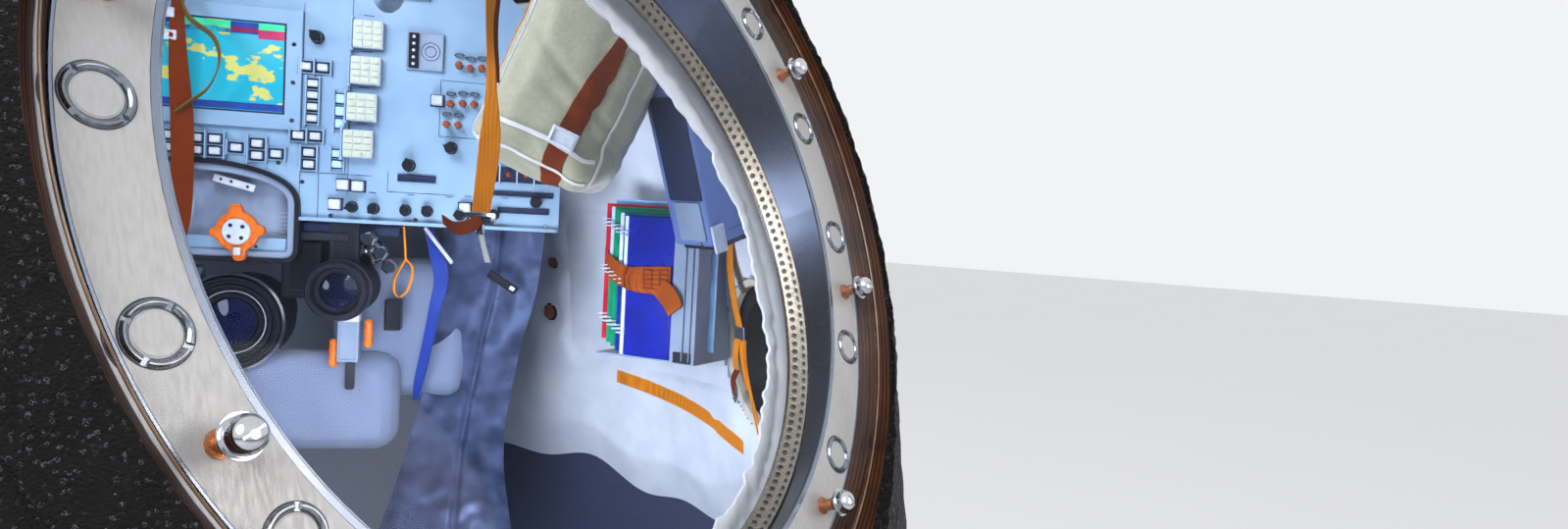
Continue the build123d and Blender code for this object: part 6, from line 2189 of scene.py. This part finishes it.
@dataclass
class LowerCabin(Assembly):
    """Optical sight, lens unit, grips and the small gear under the console."""

    def sight(self) -> None:
        """Make the sight's eyepiece: stepped rings, dark glass, a blue band and a bright outer ring."""
        place = CONSOLE @ moved(-194.7, -320, -40)
        barrel = spun(
            [
                (60, -28), (78, -28), (78, -6), (74, 0), (70, 0), (68, -8), (64, -8), (62, -3), (58, -3),
                (56, -10), (48, -12), (46, -9), (42, -9), (40, -16), (0, -18), (0, -28),
            ],
            96,
        )
        self.dressed(barrel, BLACK)
        body = spun([(0, -118), (76, -118), (77, -28), (0, -28)], 72)
        neck = spun([(0, -245), (51, -245), (51, -118), (0, -118)], 48)
        self.dressed(body, DARK_METAL)
        self.dressed(neck, DARK_METAL)
        bright = self.dressed(spun([(78, -16), (82, -15), (83, -10), (82, -5), (78, -4)], 96), CHROME)
        glass = self.dressed(
            spun([(0, -15.6), (30, -15.6), (38, -13.4), (38, -12.6), (20, -9.4), (0, -8.4)], 64), LENS_GLASS
        )
        mark = self.dressed(spun([(51, -10.4), (52, -10.4), (52, -9.4), (51, -9.4)], 96), CREAM)
        blue = self.dressed(block((-62, 22, 4), (34, 62, 12), 5.0, 3), BLUE_COVER)
        label = self.dressed(block((-60, 22, 10.6), (20, 30, 1.6), 0.8), CREAM)
        self.handed(
            "sight_unit", [barrel, body, neck, bright, glass, mark, blue, label], place, ("optical_sight",)
        )

    def lens(self) -> None:
        """Make the lens unit: a ribbed black tube on its hanger, with bright fittings beside it."""
        place = CONSOLE @ moved(-20, -255, 0)
        outline = [(0, -96), (44, -96), (48, -90)]
        for n in range(5):
            low = -78 + 22 * n
            outline += [(48, low), (45.5, low + 3), (45.5, low + 9), (48, low + 12)]
        outline += [(48, 44), (45, 50), (38, 50), (35, 30), (0, 26)]
        tube = self.dressed(spun(outline, 72), BLACK)
        glass = self.dressed(spun([(0, 24), (36, 24), (36, 27), (18, 33), (0, 35)], 48), LENS_GLASS)
        hanger = self.dressed(dished(block((0, 76, -23), (46, 66, 22), 3.0), 6.0, -2.0, -12), DARK_METAL)
        ring = self.dressed(spun([(48, 16), (50.4, 17), (50.4, 25), (48, 26)], 72), DARK_METAL)
        fitting = spun(
            [(0, -8), (12, -8), (12, 0), (9, 2), (9, 12), (13, 14), (13, 24), (10, 27), (0, 27)], 6
        )
        self.dressed(fitting, CHROME)
        fittings = repeated(fitting, [moved(58, 62, -14), moved(72, 40, -20, 20), moved(40, 84, -6, 10)])
        arm = self.dressed(block((-40, 84, -16), (96, 14, 12), 2.6), DARK_METAL)
        housing = self.dressed(dished(block((-66, 28, -52), (62, 96, 60), 6.0, 3), 8.0, -3.0, -22), BLACK)
        dome = self.dressed(
            spun([(0, 0), (20, 0), (23, 5), (21, 13), (15, 20), (7, 24), (0, 25)], 48), CHROME
        )
        domes = repeated(dome, [moved(40, 62, -30)])
        self.handed(
            "lens_assembly", [tube, glass, hanger, ring, fittings, arm, housing, domes], place, ("lens_unit",)
        )

    def grips(self) -> None:
        """Make the bracket below the lens, with its orange grips and yellow button."""
        place = CONSOLE @ moved(-10, -343, -46)
        plate = self.dressed(dished(block((0, 4, 17), (34, 78, 32), 2.5), 4.0, -3.0, 33), HOUSING)
        head = self.dressed(block((-2, 46, 22), (40, 26, 34), 3.0), CREAM)
        grip = spun(
            [(0, -22), (5.5, -22), (7.5, -17), (6.2, -6), (7.6, 4), (6.2, 13), (7.0, 20), (4, 24), (0, 24)],
            20,
        )
        self.dressed(grip, ORANGE)
        with edited(grip, whole=True):
            bpy.ops.transform.rotate(value=math.pi / 2, orient_axis="X", center_override=(0, 0, 0))
        grips = repeated(grip, [moved(30, 12, 20), moved(-24, -22, 18)])
        button = self.dressed(spun([(0, 0), (6, 0), (6, 6), (4, 9), (0, 10)], 20), YELLOW)
        buttons = repeated(button, [moved(-26, 46, 22)])
        rod = self.dressed(block((2, -60, 12), (14, 46, 14), 3.0), DARK_METAL)
        box = self.dressed(dished(block((66, 44, 0), (26, 52, 36), 2.0), 3.0, -1.5, 18), BLACK)
        self.handed("grip_unit", [plate, head, grips, buttons, rod, box], place, ("grip_bracket",))

    def cushion(
        self, at: Triple, size: Triple, seed: float
    ) -> bpy.types.Object:
        """Make a stuffed cover with soft folds.

        Args:
            at: Its middle.
            size: Its three sizes.
            seed: Sets its folds apart from another's.

        Returns:
            The cover.
        """
        piece = block(at, size, min(size) * 0.42, 5)
        worked(piece, "REMESH", mode="VOXEL", voxel_size=0.009)
        for vertex in piece.data.vertices:
            point = vertex.co
            fold = 5.0 * wobble(point.x * 2.0, point.y, point.z, 0.09, seed)
            fold += 2.0 * wobble(*point, 0.035, seed + 3)
            vertex.co = point + Vector((0, 0, 1)) * (fold * MM)
        return worked(piece, "SUBSURF", levels=1, render_levels=1)

    def shelf(self) -> None:
        """Make the grey covers and padded rolls between the console's foot and the wall."""
        cover = self.dressed(self.cushion((60, -330, -150), (230, 250, 90), 1.0), SOFT_GREY)
        plate = self.dressed(self.cushion((-70, -455, -96), (270, 170, 90), 2.0), SOFT_GREY)
        duct = self.dressed(block((-10, -158, -30), (150, 18, 30), 5.0, 3), NAVY)
        bar = self.dressed(dished(block((-300, -330, -60), (110, 200, 60), 6.0, 3), 8.0, 2.0, -30), ENAMEL)
        self.handed("foot_covers", [cover, plate, duct, bar], CONSOLE)

        def place(u: float, v: float) -> Vector:
            """Point of the crinkled foil at u across and v down."""
            left, right = 128 - 110 * v * v, 300 - 42 * min(v * 3.0, 1.0) + 14 * math.sin(7.0 * v)
            x, y = left + (right - left) * u, -146 - 590 * v
            seam = 9 * math.exp(-(((u - 0.55) / 0.03) ** 2))
            fold = 12 * math.sin(6.5 * u + 2.2 * math.sin(3.6 * v)) + 8 * math.sin(9.0 * v + 4.0 * u + 1.5)
            crumple = 20 * wobble(x * MM, y * MM, 0.0, 0.075, 3.0)
            crumple += 7 * wobble(x * MM, y * MM, 0.3, 0.028, 5.0)
            return mm(x, y, -80 - 80 * v + seam + (fold + crumple) * (0.5 + 0.5 * v))

        foil = worked(shaped_grid(70, 130, place, (0.19, 0.56)), "SOLIDIFY", thickness=0.001, offset=0.0)
        self.handed("foil_folds", [self.dressed(foil, FOIL)], CONSOLE)
        tape = [
            mm(108, -150, -34), mm(124, -196, -30), mm(132, -238, -30), mm(122, -290, -32),
            mm(112, -350, -44), mm(100, -410, -60), mm(92, -452, -80),
        ]
        widths = [16.0, 26.0, 24.0, 20.0, 19.0, 17.0, 9.0]
        turns = [Vector((1, 0, 0.2)), Vector((1, 0.1, 0.4)), Vector((1, 0, -0.3)), Vector((1, 0, 0.3))]
        turns += [Vector((1, -0.1, 0.4)), Vector((1, 0, 0.1)), Vector((1, 0, 0))]
        blue = self.dressed(strap(tape, turns, widths, 3.0, 0.6, 90), BLUE_WEBBING)
        rod_line = [mm(104, -148, -14), mm(126, -176, -12), mm(150, -206, -12)]
        latch = self.dressed(dished(block((0, 0, 0), (58, 15, 9), 4.0, 3), 3.0, -1.2, 4.5), BLACK)
        window = self.dressed(block((19, 0, 4.6), (9, 7, 1.4), 0.4, 1), CREAM)
        clasp = repeated(joined([latch, window]), [moved(232, -238, -52, -32)])
        rod = self.dressed(strap(rod_line, Vector((0.4, 0.4, 0.8)), 5.0, 5.0, 0.0, 20), CREAM)
        self.handed("blue_tape", [blue, rod, clasp], CONSOLE)

    def build(self) -> None:
        """Make the gear under the console."""
        self.sight()
        self.lens()
        self.grips()
        self.shelf()


@dataclass
class Seats(Assembly):
    """Padded liners and belts of the three seats."""

    azimuths: tuple[float, ...] = (198.54, 226.54, 254.54)
    profile: tuple[tuple[float, float], ...] = (
        (0.128, 0.597), (0.330, 0.532), (0.560, 0.575), (0.772, 0.618)
    )

    def spot(self, u: float, v: float, lift: float) -> Vector:
        """Point over a seat that faces along +X, at u along and v across it.

        Args:
            u: From 0 at the cabin's middle to 1 at the head.
            v: From -1 to 1 across.
            lift: Height over the shell's liner line in metres.

        Returns:
            The point.
        """
        points = [Vector((reach, 0, height)) for reach, height in self.profile]
        middle = smooth_line(points, u)
        half = min(0.186, middle.x * math.tan(math.radians(13.2)) - 0.002)
        return Vector((middle.x, v * half, middle.z + 0.002 + lift))

    def liner(self) -> bpy.types.Object:
        """Make one liner: a quilted pad with a raised border and a head hollow.

        Returns:
            The liner.
        """

        def place(u: float, v: float) -> Vector:
            """Point of the pad's upper face."""
            across = 2 * v - 1
            rim = min(1.0, 9 * min(u, 1 - u) + 0.05, 7 * (1 - abs(across)) + 0.05)
            quilt = abs(math.sin(8 * math.pi * u)) ** 0.4 * (
                0.5 + 0.5 * abs(math.cos(1.5 * math.pi * across)) ** 0.4
            )
            bolster = 0.008 * math.exp(-(((abs(across) - 0.80) / 0.14) ** 2))
            hollow = -0.008 * math.exp(-(((u - 0.86) / 0.07) ** 2 + (across / 0.4) ** 2))
            fold = 0.0016 * wobble(u, across, 0.0, 0.21, 4.0)
            return self.spot(u, across, (0.015 + 0.009 * quilt + bolster + hollow + fold) * math.sqrt(rim))

        pad = shaped_grid(120, 56, place, (0.66, 0.36))
        worked(pad, "SOLIDIFY", thickness=0.006, offset=-1.0)
        return self.dressed(pad, LINER)

    def belts(self) -> list[bpy.types.Object]:
        """Make the shoulder belts, the lap belt and their buckle.

        Returns:
            The parts.
        """
        parts = []
        for side in (-1, 1):
            line = [self.spot(0.92, side * 0.45, 0.026), self.spot(0.7, side * 0.36, 0.034)]
            line += [self.spot(0.5, side * 0.22, 0.036), self.spot(0.36, side * 0.10, 0.034)]
            parts.append(self.dressed(strap(line, Vector((0, 1, 0)), 44.0, 2.2, 0.4, 60), BLUE_WEBBING))
        lap = [self.spot(0.33, v, 0.034 if abs(v) < 0.8 else 0.016) for v in (-0.98, -0.5, 0.5, 0.98)]
        parts.append(self.dressed(strap(lap, Vector((1, 0, 0)), 46.0, 2.2, 0.4, 50), BLUE_WEBBING))
        buckle = dished(block((0, 0, 0), (52, 56, 14), 5.0, 3), 8.0, -3.0, 7.0)
        buckle.data.transform(Matrix.Translation(self.spot(0.345, 0.0, 0.042)))
        parts.append(self.dressed(buckle, DARK_METAL))
        return parts

    def build(self) -> None:
        """Make the three seats' soft parts."""
        turns = [turned(azimuth) for azimuth in self.azimuths]
        made = self.handed("seat_padding", [repeated(self.liner(), turns)], None, ("seat_liners",))
        belts = repeated(joined(self.belts()), turns)
        self.handed("seat_belts", [belts])


@dataclass
class Outside(Assembly):
    """Bolts, rims and seams of the fittings on the hull and the base."""

    def bolt(self, radius: float, tall: float) -> bpy.types.Object:
        """Make one hexagon bolt with its washer.

        Args:
            radius: Radius over the flats' corners in millimetres.
            tall: Its height in millimetres.

        Returns:
            The bolt.
        """
        washer = spun([(0, 0), (radius * 1.35, 0), (radius * 1.35, 0.9), (radius * 1.2, 1.3), (0, 1.3)], 24)
        head = spun([(0, 1.0), (radius, 1.0), (radius, tall - 0.8), (radius * 0.85, tall), (0, tall)], 6)
        return self.dressed(joined([washer, head]), NUT_STEEL)

    def portholes(self) -> None:
        """Make the bolts round each porthole's outer ring."""
        for name, port in PORTS.items():
            bolts = repeated(self.bolt(4.6, 4.5), [turned(30.0 * n, 120.0) for n in range(12)])
            self.handed(f"port_bolts_{name}", [bolts], wall_frame(*port, -0.008))

    def nose(self) -> None:
        """Make the docking ring's screws, and the boss, bead and grip on the hatch lid."""
        screws = repeated(self.bolt(6.0, 5.0), [turned(15.0 * n, 380.0, 1885.0) for n in range(24)])
        inner = repeated(self.bolt(4.0, 3.6), [turned(10.0 * n + 5, 352.0, 1885.0) for n in range(36)])
        self.handed("nose_bolts", [screws, inner])
        boss = spun([(0, 0), (34, 0), (34, 4), (28, 9), (14, 11), (12, 8), (0, 8)], 48)
        bead = spun([(196, -20.4), (202, -15.5), (208, -16.2), (212, -23.8)], 96)
        parts = [self.dressed(boss, NUT_STEEL), self.dressed(bead, SHEET)]
        parts.append(repeated(self.bolt(3.4, 3.0), [turned(45.0 * n, 23.0, 8.6) for n in range(8)]))
        grip = [mm(60, -48, -2), mm(64, -44, 12), mm(66, 0, 14), mm(64, 44, 12), mm(60, 48, -2)]
        parts.append(self.dressed(strap(grip, Vector((1, 0, 0)), 14.0, 5.0, 0.0, 40), DARK_METAL))
        lid = Outside(self.paint, HATCH)
        lid.handed("hatch_boss", parts, Matrix.Translation((0, 0, LID_CROWN)))

    def reserve(self) -> None:
        """Make the burnt face of the reserve parachute's cover and its plugs."""
        place = wall_frame(*RESERVE)

        def face(u: float, v: float) -> Vector:
            """Point of the cover's burnt face, u round it and v from its middle."""
            reach, turn = 0.1885 * v, 2 * math.pi * u
            x, y = reach * math.cos(turn), reach * math.sin(turn)
            spot = place @ Vector((x, y, 0))
            rise = 0.004 * wobble(*spot, 0.05, 3.0) + 0.0025 * wobble(*spot, 0.018, 8.0)
            edge = min(1.0, (1 - v) * 12)
            return Vector((x, y, math.sqrt(DOME_R**2 - reach**2) - DOME_R + 0.003 + (0.004 + rise) * edge))

        crust = shaped_grid(96, 24, face)
        welded(crust, 0.0002)
        plug = self.dressed(spun([(0, 0), (9, 0), (9, 2.0), (7, 3.4), (0, 3.0)], 20), DARK_METAL)
        plugs = repeated(plug, [turned(22.5 * n, 168.0, -9.0) for n in range(16)])
        self.handed("reserve_crust", [self.dressed(crust, CHAR), plugs], place)

    def fittings(self) -> None:
        """Make the periscope's glass and bolts, the thrusters' lips and the umbilical plate's pins."""
        glass = self.dressed(bevelled(block((0, 0, 52), (57, 57, 4), 0.0), 0.8), LENS_GLASS)
        bolts = repeated(self.bolt(4.2, 4.0), [turned(45.0 * n, 53.0, 64.0) for n in range(8)])
        self.handed("periscope_face", [glass, bolts], wall_frame(*PERISCOPE))
        for number, spot in enumerate(THRUSTERS):
            lip = spun([(25.5, -7), (27.0, -1), (28.0, 1.6), (33.4, 1.6), (34.2, 0.4), (34.2, -1)], 48)
            self.handed(f"thruster_lip_{number}", [self.dressed(lip, ROLLED)], wall_frame(*spot))
        pin = self.dressed(spun([(0, 0), (1.8, 0), (1.8, 3.4), (1.0, 4.6), (0, 4.6)], 14), COPPER)
        collar = self.dressed(
            spun([(20.5, 0), (24.2, 0), (24.2, 5.5), (22.0, 6.4), (20.5, 5.5)], 40), NUT_STEEL
        )
        ring = joined([collar, repeated(pin, [turned(60.0 * n, 11.0) for n in range(6)])])
        rows = [(x, y) for x in (-39.6, 39.6) for y in (-75.0, 0.0, 75.0)]
        sockets = repeated(ring, [moved(x, y, 24.0) for x, y in rows])
        corners = repeated(self.bolt(5.0, 4.5), [moved(x, y, 16.0) for x in (-80, 80) for y in (-104, 104)])
        self.handed("umbilical_pins", [sockets, corners], wall_frame(*UMBILICAL))

    def build(self) -> None:
        """Make the fittings' detail."""
        self.portholes()
        self.nose()
        self.reserve()
        self.fittings()


def dress_nodes(frame: dict, paint: Paintbox) -> None:
    """Give every CAD node its finish.

    Args:
        frame: The loaded frame.
        paint: The materials.
    """
    for name, node in frame["nodes"].items():
        finish = NODE_FINISHES[name]
        for slot in node.material_slots:
            slot.material = paint.material(finish)
        log.info("node %s: %s", name, finish.name)


def main() -> None:
    """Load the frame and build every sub-assembly."""
    logging.basicConfig(level=logging.INFO, format="%(message)s")
    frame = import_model()
    bpy.context.scene.view_settings.view_transform = "Standard"
    paint = Paintbox()
    Stage().build(paint)
    dress_nodes(frame, paint)
    for assembly in (
        MouthRing(paint),
        PerforatedStrip(paint),
        Linings(paint),
        Console(paint),
        ArchedScreen(paint),
        CargoBag(paint),
        BookShelf(paint),
        EquipmentBox(paint),
        CabinStraps(paint),
        LowerCabin(paint),
        Seats(paint),
        Outside(paint),
        HullCrust(paint),
    ):
        assembly.build()


if __name__ == "__main__":
    main()
